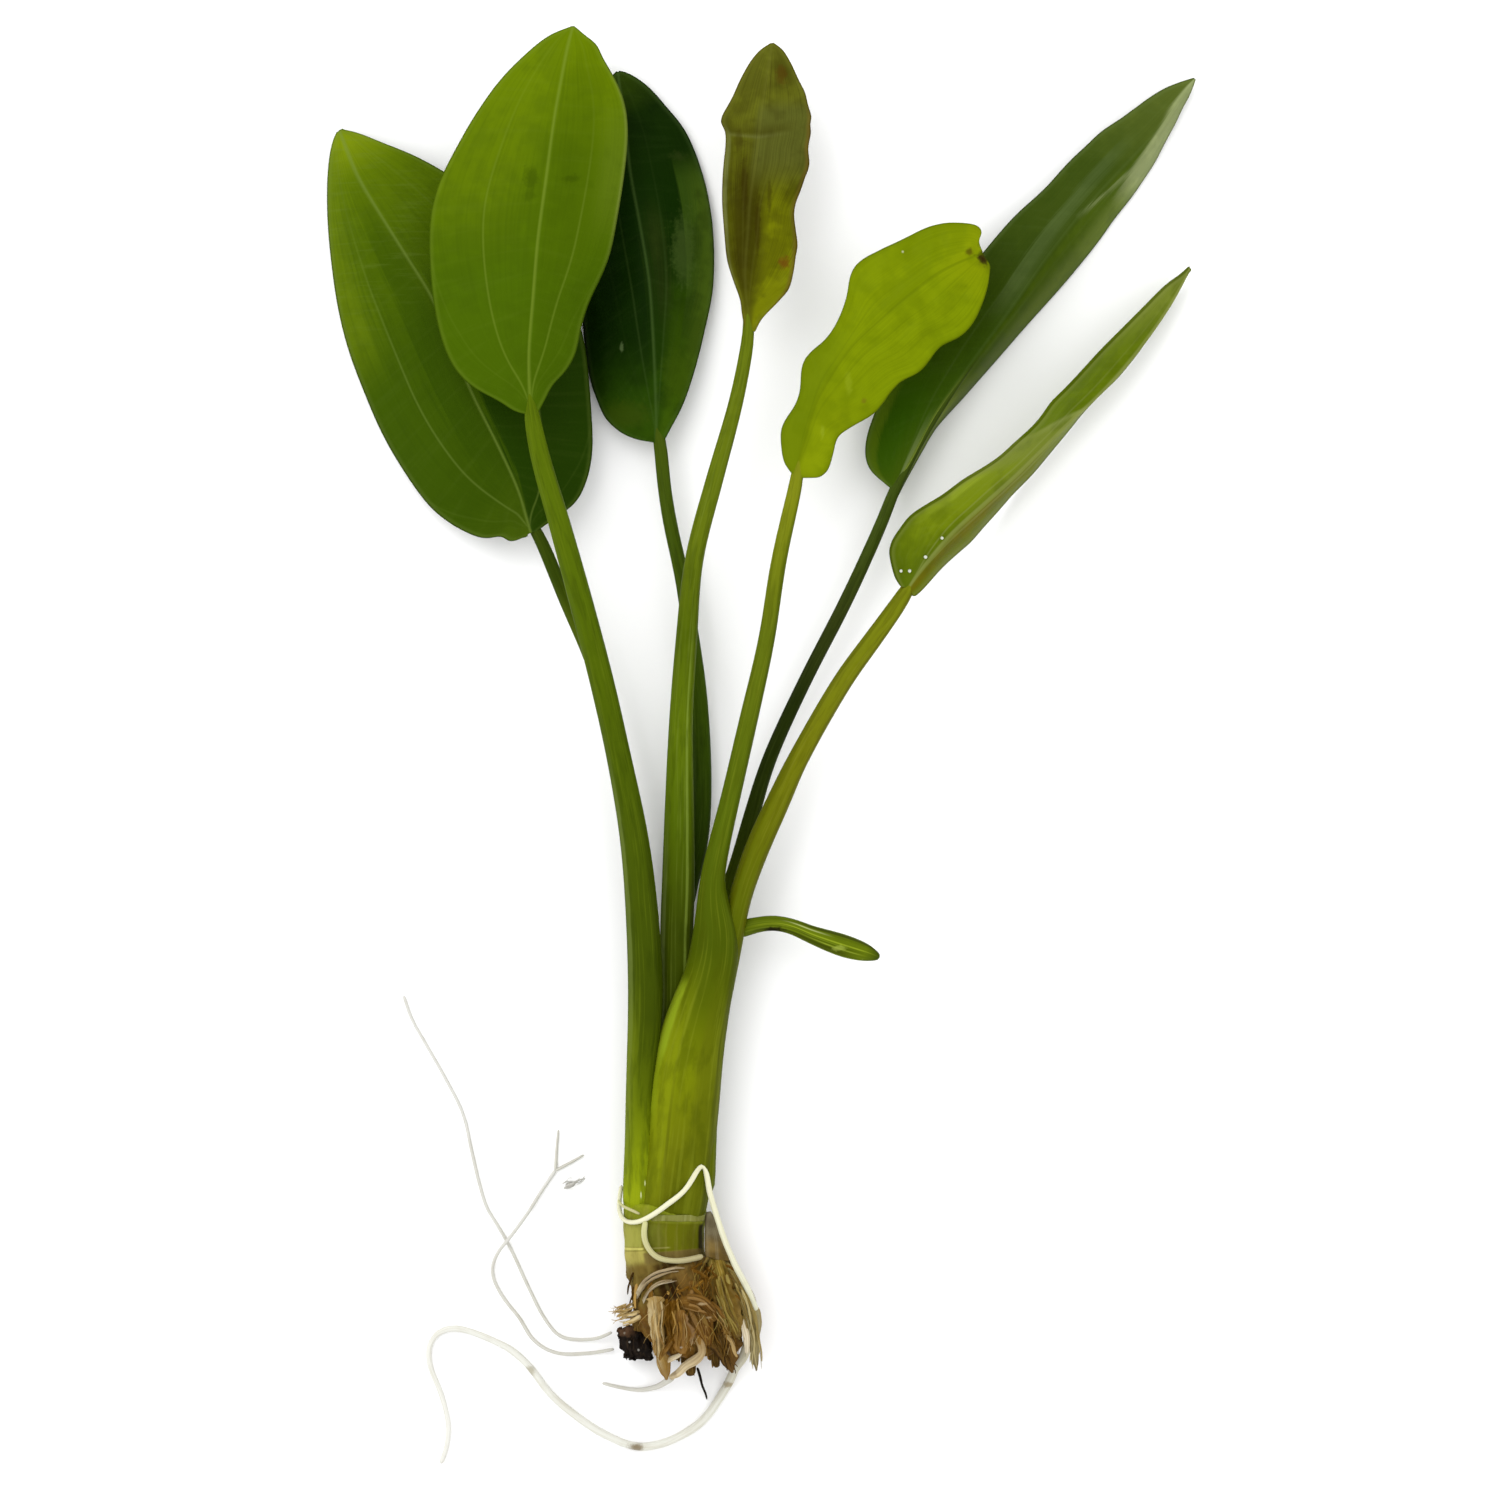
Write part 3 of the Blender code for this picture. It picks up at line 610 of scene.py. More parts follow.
def write_ribs(graph: Graph, given: Sockets) -> Sockets:
    """Fine ribs and streaks that run along a stem or a root.

    Args:
        graph: where the nodes go.
        given: the effect's inputs.

    Returns:
        The effect's outputs.
    """
    stored = graph.add("Attribute", attribute_name="tube_place", attribute_type="GEOMETRY")
    spot = stored.outputs["Vector"]
    ribs = graph.noise(graph.stretched(spot, (1.0, 1.0, 0.006)), given["Scale"], 3.0, 0.6)
    coarse = graph.times(given["Scale"], 0.35)
    streaks = graph.noise(graph.stretched(spot, (1.0, 1.0, 0.05)), coarse, 4.0, 0.6)
    return {"Ribs": ribs, "Streaks": streaks}


MOTTLE = shared_effect("mottle", {"Vector": None, "Scale": 60.0, "Contrast": 2.0}, ["Value"], write_mottle)
VEINS = shared_effect("leaf_veins", {"Midrib Width": 0.5, "Side Width": 0.35},
                      ["Midrib", "Side", "Lines", "Rungs"], write_veins)
MARGIN = shared_effect("leaf_margin", {"Width": 0.4}, ["Edge", "Rim", "Half", "Share"], write_margin)
RIBS = shared_effect("lengthwise_ribs", {"Scale": 6.0}, ["Ribs", "Streaks"], write_ribs)


def new_surface(name: str, roughness: float,
                **uniform: object) -> tuple[bpy.types.Material, Graph, bpy.types.Node]:
    """Starts a material.

    Args:
        name: its name.
        roughness: a plain roughness, where no node feeds one later.
        uniform: values for the shader's own sockets, by name with _ for a space.

    Returns:
        The material, its graph and its Principled shader.
    """
    material = bpy.data.materials.new(name)
    material.use_nodes = True
    graph = Graph(material.node_tree)
    shader = material.node_tree.nodes["Principled BSDF"]
    shader.inputs["Roughness"].default_value = roughness
    for label, value in uniform.items():
        graph.feed(shader.inputs[label.replace("_", " ")], value)
    return material, graph, shader


def object_place(graph: Graph) -> Socket:
    """Object coordinates, which are the part's own frame in metres."""
    return graph.add("TexCoord").outputs["Object"]


def bump(graph: Graph, shader: bpy.types.Node, height: object, strength: float, depth: float) -> None:
    """Raises relief where a height goes from 0 to 1; the depth is in millimetres."""
    node = graph.add("Bump", {"Strength": strength, "Distance": depth * MM, "Height": height})
    graph.feed(shader.inputs["Normal"], node.outputs["Normal"])


@dataclass(frozen=True)
class Patch:
    """A stain or a painted highlight with a ragged rim; the shape gives how wide and how high it is, in
    radii.
    """

    centre: tuple[float, float, float]
    radius: float
    colour: Colour
    cover: float = 1.0
    shape: tuple[float, float] = (1.0, 1.0)

    def paint(self, graph: Graph, spot: Socket, under: Socket) -> Socket:
        """Paints the stain or the painted highlight.

        Args:
            graph: where the nodes go.
            spot: the place on the piece.
            under: the colour that it is painted over.

        Returns:
            The colour with the stain or the painted highlight.
        """
        centre = tuple(place(*self.centre))
        away = graph.add("VectorMath", {0: spot, 1: centre}, operation="SUBTRACT").outputs[0]
        away = graph.stretched(away, (1 / self.shape[0], 1 / self.shape[1], 0.3))
        distance = graph.add("VectorMath", {0: away}, operation="LENGTH").outputs["Value"]
        ragged = graph.math("MULTIPLY_ADD", graph.noise(spot, 900.0, 4.0, 0.7), 2.0, 0.0)
        uneven = graph.times(distance, ragged)
        mask = graph.fade(uneven, 0.3 * self.radius * MM, self.radius * MM, self.cover, 0.0)
        return graph.blend(mask, under, self.colour)


@dataclass(frozen=True)
class Panel:
    """A tinted area of a blade or a stem: a colour of its own, or painted sheen, highlight or shade.

    Left and right are places across, from -1 to 1; start and end are shares of the length. Each of the
    four sides has its own softness. With a drift the area leans across as it goes along, with a skew its
    ends stand slanted, and streaks make its sides follow the fine lines.
    """

    left: float
    right: float
    start: float
    end: float
    colour: Colour
    cover: float = 0.6
    soft: tuple[float, float, float, float] = (0.12, 0.12, 0.08, 0.08)
    drift: float = 0.0
    skew: float = 0.0
    streaks: float = 0.25

    def paint(self, graph: Graph, across: Socket, share: Socket, lines: Socket, under: Socket) -> Socket:
        """Paints the area.

        Args:
            graph: where the nodes go.
            across, share: the place on the piece, across and along.
            lines: its fine lines.
            under: the colour that it is painted over.

        Returns:
            The colour with the area.
        """
        side = graph.math("MULTIPLY_ADD", graph.minus(lines, 0.5), self.streaks, across)
        if self.drift:
            side = graph.math("MULTIPLY_ADD", graph.minus(share, self.start), -self.drift, side)
        if self.skew:
            share = graph.math("MULTIPLY_ADD", across, -self.skew, share)
        mask = None
        edges = ((side, self.left, self.soft[0], 0.0), (side, self.right, self.soft[1], 1.0),
                 (share, self.start, self.soft[2], 0.0), (share, self.end, self.soft[3], 1.0))
        for value, edge, soft, before in edges:
            part = graph.fade(value, edge - soft, edge + soft, before, 1.0 - before)
            mask = graph.times(part, mask if mask else self.cover)
        return graph.blend(mask, under, self.colour)


def stripe(across: float, reach: float, start: float, end: float, colour: Colour, cover: float = 0.6,
           softness: float = 0.08, drift: float = 0.0) -> Panel:
    """A soft stripe along a blade or a stem.

    Args:
        across: its middle, from -1 to 1.
        reach: how far it goes to each side.
        start, end: shares of the length.
        colour, cover, drift: as in a panel.
        softness: how soft its ends are.

    Returns:
        The stripe as a panel.
    """
    soft = (0.45 * reach, 0.45 * reach, softness, softness)
    return Panel(across - 0.8 * reach, across + 0.8 * reach, start, end, colour, cover, soft, drift,
                 streaks=reach)


@dataclass(frozen=True)
class LeafFinish:
    """The skin of one leaf blade: its tones from the stem to the tip, then what is painted over them."""

    name: str
    tones: Tones
    dark: Colour
    vein: Colour
    edge: Colour
    panels: tuple[Panel, ...] = ()
    patches: tuple[Patch, ...] = ()
    mottle: float = 0.22
    lines: float = 0.16
    rungs: float = 0.03
    grain: float = 0.0
    vein_cover: float = 0.5
    side_cover: float = 0.32
    rim_cover: float = 0.18
    edge_cover: float = 0.6
    roughness: float = 0.45
    shine: float = 0.012
    opacity: float = 1.0
    relief: tuple[float, float] = (0.3, 0.2)

    def material(self) -> bpy.types.Material:
        """Builds the skin: tones, tinted areas, clouding, fine lines, veins and margin.

        Returns:
            The material, which is made once.
        """
        if self.name in bpy.data.materials:
            return bpy.data.materials[self.name]
        material, graph, shader = new_surface(
            self.name, self.roughness, Specular_IOR_Level=self.shine, Alpha=self.opacity)
        spot = object_place(graph)
        margin = graph.use(MARGIN, width=0.4).outputs
        veins = graph.use(VEINS, midrib_width=0.5, side_width=0.36).outputs
        cloud = graph.use(MOTTLE, vector=spot, scale=55.0, contrast=2.4).outputs[0]
        colour = graph.ramp(margin["Share"], self.tones)
        for panel in self.panels:
            colour = panel.paint(graph, margin["Half"], margin["Share"], veins["Lines"], colour)
        colour = graph.veil(colour, cloud, 0.62, 0.3, self.mottle, self.dark)
        colour = graph.veil(colour, veins["Lines"], 0.4, 0.7, self.lines, self.dark)
        colour = graph.veil(colour, veins["Rungs"], 0.5, 0.7, self.rungs, self.vein)
        if self.grain:
            threads = graph.noise(graph.stretched(spot, (0.08, 1.0, 0.0)), 1500.0, 2.0, 0.6)
            high_up = graph.fade(margin["Share"], 0.45, 0.7, 0.0, self.grain)
            colour = graph.veil(colour, threads, 0.5, 0.75, high_up, self.vein)
        for patch in self.patches:
            colour = patch.paint(graph, spot, colour)
        side = graph.times(veins["Side"], self.side_cover)
        middle = graph.times(veins["Midrib"], self.vein_cover)
        colour = graph.blend(graph.math("MAXIMUM", side, middle), colour, self.vein)
        colour = graph.blend(graph.times(margin["Rim"], self.rim_cover), colour, self.vein)
        colour = graph.blend(graph.times(margin["Edge"], self.edge_cover), colour, self.edge)
        graph.feed(shader.inputs["Base Color"], colour)
        rough = graph.fade(cloud, 0.2, 0.8, self.roughness - 0.06, self.roughness + 0.1)
        graph.feed(shader.inputs["Roughness"], rough)
        height = graph.plus(graph.times(veins["Lines"], 0.5), graph.times(cloud, 0.5))
        bump(graph, shader, graph.plus(height, graph.times(veins["Rungs"], 0.1)), *self.relief)
        return material


@dataclass(frozen=True)
class TubeFinish:
    """The skin of a stem or a root: its tones along it, streaks, ribs, stains, painted highlights and
    painted shade.
    """

    name: str
    tones: Tones
    streak: Colour
    light: Colour
    streak_cover: float = 0.35
    light_cover: float = 0.22
    rib_scale: float = 7.0
    rib_depth: float = 0.1
    length: float = 150.0
    roughness: float = 0.45
    panels: tuple[Panel, ...] = ()
    patches: tuple[Patch, ...] = ()
    shine: float = 0.02
    mottle: float = 0.12

    def material(self) -> bpy.types.Material:
        """Builds the skin from the piece's own place round and along it.

        Returns:
            The material, which is made once.
        """
        if self.name in bpy.data.materials:
            return bpy.data.materials[self.name]
        material, graph, shader = new_surface(self.name, self.roughness, Specular_IOR_Level=self.shine)
        spot = object_place(graph)
        ribs = graph.use(RIBS, scale=self.rib_scale).outputs
        cloud = graph.use(MOTTLE, vector=spot, scale=90.0, contrast=2.6).outputs[0]
        across, _, along = graph.read("tube_place")
        share = graph.math("DIVIDE", along, self.length)
        colour = graph.ramp(share, self.tones)
        for panel in self.panels:
            colour = panel.paint(graph, across, share, ribs["Streaks"], colour)
        colour = graph.veil(colour, ribs["Streaks"], 0.46, 0.66, self.streak_cover, self.streak)
        colour = graph.veil(colour, ribs["Ribs"], 0.5, 0.68, self.light_cover, self.light)
        colour = graph.veil(colour, cloud, 0.5, 0.15, self.mottle, self.streak)
        tone = graph.read("fibre_tone")[0]
        colour = graph.veil(colour, tone, 0.0, 1.0, 0.55, self.light)
        colour = graph.veil(colour, tone, 0.0, -1.0, 0.6, self.streak)
        for patch in self.patches:
            colour = patch.paint(graph, spot, colour)
        graph.feed(shader.inputs["Base Color"], colour)
        rough = graph.fade(cloud, 0.2, 0.8, self.roughness - 0.06, self.roughness + 0.12)
        graph.feed(shader.inputs["Roughness"], rough)
        relief = graph.plus(graph.times(ribs["Ribs"], 0.7), graph.times(cloud, 0.3))
        bump(graph, shader, relief, 0.6, self.rib_depth)
        return material


@dataclass
class Blade:
    """A leaf blade: a flat grid whose points are moved, row by row, onto the drawn midrib and margins.

    The midrib's stations give x, y and z, then how far the left and the right margin lie below it. The
    veins are sunk by the groove, the side veins by a share of it; calm says how far from the midrib and
    from the stem the ripples reach their full height.
    """

    name: str
    midrib: tuple[Station, ...]
    left: tuple[Station, ...]
    right: tuple[Station, ...]
    finish: LeafFinish
    slot: Slot
    replaces: tuple[str, ...]
    thickness: float = 0.5
    arch: float = 1.7
    crowding: float = 0.5
    crinkle: float = 0.25
    crinkle_size: float = 11.0
    vein_share: float = 0.36
    vein_settles: float = 26.0
    least_spacing: float = 0.15
    groove: float = 0.1
    midrib_width: float = 0.75
    side_width: float = 0.9
    side_depth: float = 0.4
    calm: tuple[float, float] = (6.0, 12.0)
    ragged: float = 0.0
    rows: int = 44
    columns: tuple[float, ...] = (-1.0, -0.8, -0.54, -0.28, -0.07, 0.0, 0.07, 0.28, 0.54, 0.8, 1.0)
    route: Route = field(init=False)
    margins: dict[int, Route] = field(init=False)

    def __post_init__(self) -> None:
        """Draws the midrib's line and the two margins."""
        self.route = Route(self.midrib)
        self.margins = {-1: Route(self.left), 1: Route(self.right)}

    def share(self, step: float) -> float:
        """How far along the blade a row lies; rows stand closer at both ends."""
        return step - self.crowding * math.sin(2 * math.pi * step) / (2 * math.pi)

    def spot(self, share: float, across: float) -> Station:
        """The drawn place of a point of the blade.

        Args:
            share: how far along, from 0 at the stem to 1 at the tip.
            across: from -1 at the left margin over 0 at the midrib to 1.

        Returns:
            Its x, y and z.
        """
        x, y, z, drop_left, drop_right = self.route.at(share)
        if across == 0:
            return x, y, z
        margin_x, margin_y = self.margins[1 if across > 0 else -1].at(share)
        reach = abs(across)
        height = z - (drop_right if across > 0 else drop_left) * reach**self.arch
        return x + (margin_x - x) * reach, y + (margin_y - y) * reach, max(self.thickness * 1.1, height)

    def build(self) -> Piece:
        """Makes the blade.

        Returns:
            The finished piece.
        """
        chance = random.Random(self.rows)
        tears = [[1 + self.ragged * chance.uniform(-1.0, 0.7) for _ in range(2)] for _ in range(self.rows)]

        def spot(column: int, row: int) -> Vector:
            """Places a point of the grid.

            Args:
                column, row: which point.

            Returns:
                Its place in metres.
            """
            across = self.columns[column]
            share = self.share(row / (self.rows - 1))
            return place(*self.spot(share, across * tears[row][across > 0]))

        piece = bent_grid(len(self.columns), self.rows, spot)
        smooth_surface(piece, 2)
        self._map_surface(piece)
        self._relieve(piece)
        apply_modifier(piece, "SOLIDIFY", thickness=self.thickness * MM, offset=-1.0)
        return finish_piece(piece, self.name, self.finish.material(), self.replaces)

    def _map_surface(self, piece: Piece) -> None:
        """Stores each point's place among the veins and its distance from the margin.

        Args:
            piece: the shaped blade.
        """
        spots = vertex_uv(piece)
        across = np.interp(spots[:, 0], np.linspace(0, 1, len(self.columns)), self.columns)
        shares = np.array([self.share(v) for v in spots[:, 1]])
        table = np.linspace(0, 1, 80)
        middle = np.array([self.route.at(s)[:2] for s in table])
        lines = [np.array([self.margins[side].at(s) for s in table]) - middle for side in (-1, 1)]
        left, right = (np.interp(shares, table, np.hypot(*line.T)) for line in lines)
        half = np.where(across < 0, left, right)
        along = shares * self.route.length
        settled = 1 - np.exp(-along / self.vein_settles)
        spacing = np.maximum(self.least_spacing, self.vein_share * settled * half)
        beside = across * half
        store_vector(piece, "vein_place", np.column_stack((beside / spacing, along, spacing)))
        inward = np.minimum((1 - abs(across)) * half, (1 - shares) * self.route.length)
        store_vector(piece, "edge_place", np.column_stack((inward, across, shares)))
        reach = abs(beside / spacing)
        near_side = np.exp(-((reach - 1) * spacing / self.side_width) ** 2) * self.side_depth
        weigh(piece, "vein", np.maximum(np.exp(-(beside / self.midrib_width) ** 2), near_side))
        calm_beside, calm_along = self.calm
        weigh(piece, "limb", np.clip(abs(beside) / calm_beside, 0, 1) * np.clip(along / calm_along, 0, 1))

    def _relieve(self, piece: Piece) -> None:
        """Sinks the veins into the blade and lets the rest of it ripple.

        Args:
            piece: the shaped blade.
        """
        apply_modifier(piece, "DISPLACE", vertex_group="vein", strength=-self.groove * MM, mid_level=0.0,
                       direction="Z")
        ripple = bpy.data.textures.new(self.name + "_ripple", "CLOUDS")
        ripple.noise_scale = self.crinkle_size * MM
        ripple.noise_depth = 1
        apply_modifier(piece, "DISPLACE", vertex_group="limb", texture=ripple, texture_coords="LOCAL",
                       strength=2 * self.crinkle * MM, mid_level=0.5, direction="Z")


@dataclass
class Tube:
    """A stem, root or strand, shaped ring by ring from a cylinder.

    Stations give x, y and z, then half the width and half the height of the section.
    """

    name: str
    stations: tuple[Station, ...]
    sides: int = 20
    spacing: float = 4.0
    ridges: dict[int, float] = field(default_factory=dict)
    wobble: float = 0.0
    seed: int = 1
    levels: int = 1

    def build(self) -> Piece:
        """Makes the bare shape.

        Returns:
            The object, not yet named or dressed.
        """
        route = Route(self.stations)
        rings = max(4, round(route.length / self.spacing))
        Bench.clear()
        bpy.ops.mesh.primitive_cylinder_add(vertices=self.sides, radius=1, depth=2, end_fill_type="NGON")
        piece = bpy.context.object
        bench = Bench(piece)
        bpy.ops.mesh.select_mode(type="EDGE")
        mesh = bmesh.from_edit_mesh(piece.data)
        for edge in mesh.edges:
            edge.select = abs(edge.verts[0].co.z - edge.verts[1].co.z) > 1
        bmesh.update_edit_mesh(piece.data)
        bpy.ops.mesh.subdivide_edgering(number_cuts=rings - 1, interpolation="LINEAR")
        bpy.ops.mesh.select_mode(type="VERT")
        bpy.ops.object.mode_set(mode="OBJECT")
        levels = np.array([round((v.co.z + 1) / 2 * rings) for v in piece.data.vertices])
        angles = np.array([math.atan2(v.co.y, v.co.x) for v in piece.data.vertices])
        along = levels / rings * route.length
        store_vector(piece, "tube_place", np.column_stack((np.cos(angles), np.sin(angles), along)))
        bpy.ops.object.mode_set(mode="EDIT")
        self._ridge(bench, angles)
        self._shape(bench, route, rings, levels)
        smooth_surface(piece, self.levels)
        return piece

    def _ridge(self, bench: Bench, angles: np.ndarray) -> None:
        """Pushes lengthwise ridges out, or grooves in, at numbered places round the section.

        Args:
            bench: the bench that holds the tube.
            angles: where each vertex lies round the axis.
        """
        numbers = np.round(angles / (2 * math.pi) * self.sides).astype(int) % self.sides
        for side, factor in self.ridges.items():
            bench.pick_numbers(np.flatnonzero(numbers == side % self.sides))
            bench.scale((factor, factor, 1), (0, 0, 0))

    def _shape(self, bench: Bench, route: Route, rings: int, levels: np.ndarray) -> None:
        """Gives each ring its size, its direction and its place.

        Args:
            bench: the bench that holds the tube.
            route: its line.
            rings: how many spans it has between rings.
            levels: the ring of each vertex.
        """
        chance = random.Random(self.seed)
        for ring in range(rings + 1):
            share = ring / rings
            x, y, z, half_width, half_height = route.at(share)
            swell = 1 + self.wobble * (chance.random() - 0.5)
            shift = [self.wobble * half_width * (chance.random() - 0.5) for _ in range(2)]
            ahead = route.heading(share)
            centre = (0, 0, 2 * share - 1)
            bench.pick_numbers(np.flatnonzero(levels == ring))
            bench.scale((half_width * swell * MM, half_height * swell * MM, 1), centre)
            bench.turn(math.asin(ahead.z) - math.pi / 2, "X", centre)
            bench.turn(-math.atan2(ahead.x, ahead.y), "Z", centre)
            bench.move(place(x + shift[0], y + shift[1], z) - Vector(centre))
        bench.done()


@dataclass
class Leaf:
    """One leaf: a stem (petiole) and the blade that it carries, which it runs on under as its midrib."""

    name: str
    stem: tuple[Station, ...]
    blade: Blade
    finish: TubeFinish
    midrib: float = 0.8
    midrib_end: float = 0.85

    def _keel(self) -> tuple[Station, ...]:
        """The stem's line under the blade, narrowing until it ends.

        Returns:
            Its stations.
        """
        line = []
        start = self.stem[-1][3]
        for share in (0.05, 0.12, 0.25, 0.4, 0.55, 0.7, self.midrib_end):
            x, y, z = self.blade.route.at(share)[:3]
            size = 0.2 + self.midrib * (1 - share / self.midrib_end) * min(1.0, start)
            line.append((x, y, z - 0.25 - size, size, size))
        return tuple(line)

    def build(self) -> None:
        """Makes the stem and the blade."""
        stem = Tube(self.name + "_stem", self.stem + self._keel(), ridges=SOFT_RIDGES).build()
        nodes = [self.name + "_leaf_stem"]
        finish_piece(stem, self.name + "_petiole", self.finish.material(), nodes)
        self.blade.build()


@dataclass(frozen=True)
class Strand:
    """A root or a root end: a tapering strand that lies on the surface where it reaches it."""

    node: str
    slot: Slot
    finish: TubeFinish
    start: float
    end: float
    route: tuple[Station, ...]
    sides: int = 12
    spacing: float = 1.6
    wobble: float = 0.12
    in_frame: bool = True

    def stations(self) -> tuple[Station, ...]:
        """Sizes the root along its route.

        Returns:
            The stations, with the root's radius as their half width and half height.
        """
        last = len(self.route) - 1
        sizes = [self.start + (self.end - self.start) * k / last for k in range(last + 1)]
        return tuple((x, y, max(z, size), size, size) for (x, y, z), size in zip(self.route, sizes))

    def build(self, seed: int) -> None:
        """Makes the strand.

        Args:
            seed: makes its unevenness its own.
        """
        tube = Tube(self.node, self.stations(), self.sides, self.spacing, wobble=self.wobble, seed=seed)
        nodes = [self.node] if self.in_frame else []
        finish_piece(tube.build(), self.node + "_strand", self.finish.material(), nodes)


@dataclass(frozen=True)
class Tuft:
    """A torn root end: a broad core and uneven fibres that run beside it.

    The route gives x, y and z, then how far from it the fibres stand.
    """

    node: str
    finish: TubeFinish
    route: tuple[Station, ...]
    core: float = 1.0
    count: int = 8
    sizes: tuple[float, float] = (0.3, 0.75)
    ends: tuple[float, float] = (0.6, 1.0)
    flat: float = 0.65
    wander: float = 0.35
    slot: Slot = Slot.ROOT_STUB
    in_frame: bool = True
    sag: float = 0.0
    steps: int = 6
    taper: float = 0.55
    clearance: float = 0.05

    def _fibre(self, number: int, chance: random.Random) -> Piece:
        """Makes one fibre.

        Args:
            number: its number; number 0 is the core.
            chance: where its random numbers come from.

        Returns:
            The fibre, not yet named or dressed.
        """
        route = Route(self.route)
        is_core = number == 0 and self.core > 0
        turn = 2 * math.pi * (number + chance.random()) / self.count
        out, begin, end, size = (
            chance.uniform(*between) for between in ((0.5, 1.1), (0.0, 0.25), self.ends, self.sizes))
        if is_core:
            out, begin, end, size = 0.0, 0.0, 0.96, self.core
        stations = []
        for step in range(self.steps + 1):
            done = step / self.steps
            share = begin + (end - begin) * done
            x, y, z, spread = route.at(share)
            ahead = route.heading(share)
            aside = Vector((ahead.y, -ahead.x, 0)).normalized() * math.cos(turn) * out * spread
            drift = [self.wander * done * chance.uniform(-1, 1) for _ in range(3)]
            width = size * (1.0 - self.taper * done**3) * chance.uniform(0.75, 1.25)
            height = z + math.sin(turn) * out * spread + drift[2] - self.sag * (math.cos(turn) * out) ** 2
            stations.append((x + aside.x + drift[0], y + aside.y + drift[1],
                             max(width * self.flat + self.clearance, height), width, width * self.flat))
            turn += chance.uniform(-0.35, 0.35)
        sides, spacing, ridges = (14, 1.4, TORN_RIDGES) if is_core else (6, 2.0, FIBRE_RIDGES)
        fibre = Tube(self.node, tuple(stations), sides, spacing, ridges, 0.25, number).build()
        store_tone(fibre, 0.0 if is_core else chance.uniform(-1, 1))
        return fibre

    def build(self, seed: int) -> None:
        """Makes the fibres and joins them.

        Args:
            seed: makes the tuft its own.
        """
        chance = random.Random(seed)
        fibres = [self._fibre(number, chance) for number in range(self.count)]
        nodes = [self.node] if self.in_frame else []
        finish_piece(joined(fibres), self.node + "_tuft", self.finish.material(), nodes)


@dataclass(frozen=True)
class Crown:
    """The crown and the rootstock under it, smooth where leaves grew and rough where roots did.

    Each relief gives its size and its depth.
    """

    stations: tuple[Station, ...]
    finish: TubeFinish
    smooth_to: float = 0.37
    rough_from: float = 0.46
    relief: tuple[tuple[float, float], ...] = ((2.2, 1.5), (0.8, 0.7))

    def build(self) -> None:
        """Makes the crown and roughens its lower part."""
        piece = Tube("crown", self.stations, 28, 1.2, wobble=0.02, seed=5, levels=2).build()
        places = np.zeros(len(piece.data.vertices) * 3, np.float32)
        piece.data.attributes["tube_place"].data.foreach_get("vector", places)
        share = places.reshape(-1, 3)[:, 2] / self.finish.length
        rough = (share - self.smooth_to) / (self.rough_from - self.smooth_to)
        weigh(piece, "rough", np.clip(rough, 0, 1))
        for number, (size, depth) in enumerate(self.relief):
            texture = bpy.data.textures.new(f"crown_relief_{number}", "CLOUDS")
            texture.noise_scale = size * MM
            apply_modifier(piece, "DISPLACE", vertex_group="rough", texture=texture, texture_coords="LOCAL",
                           strength=depth * MM, mid_level=0.5)
        finish_piece(piece, "crown_body", self.finish.material(), ["crown"])


@dataclass(frozen=True)
class Collar:
    """A papery rest of an old sheath that wraps part of the crown, torn at its lower edge.

    Its two rings give the middle's x, y and z, then half the width and half the height. Angles are in
    degrees round the crown, from 0 on top to the right.
    """

    name: str
    top: Station
    bottom: Station
    start: float
    end: float
    torn: float
    finish: TubeFinish
    seed: int
    rows: int = 5
    columns: int = 22
    thickness: float = 0.22

    def build(self) -> None:
        """Bends a grid round the crown, tears its edge and thickens it."""
        chance = random.Random(self.seed)
        places = []

        def spot(column: int, row: int) -> Vector:
            """Places a point of the grid and notes where it lies round the crown.

            Args:
                column, row: which point.

            Returns:
                Its place in metres.
            """
            down = 1 - row / (self.rows - 1)
            share = column / (self.columns - 1)
            x, y, z, half_width, half_height = (
                a + (b - a) * down for a, b in zip(self.top, self.bottom))
            angle = math.radians(self.start + (self.end - self.start) * share)
            tear = self.torn * chance.uniform(-1, 0.4) * down**3
            tear -= 0.6 * self.torn * math.sin(3 * math.pi * share)
            ripple = 1 + 0.03 * math.sin(9 * angle) * down
            places.append((math.sin(angle), math.cos(angle), down * (self.top[1] - self.bottom[1])))
            return place(x + math.sin(angle) * half_width * ripple, y - tear * down**2,
                         z + math.cos(angle) * half_height * ripple)

        piece = bent_grid(self.columns, self.rows, spot)
        store_vector(piece, "tube_place", np.array(places))
        smooth_surface(piece, 1)
        apply_modifier(piece, "SOLIDIFY", thickness=self.thickness * MM, offset=1.0)
        finish_piece(piece, self.name, self.finish.material())


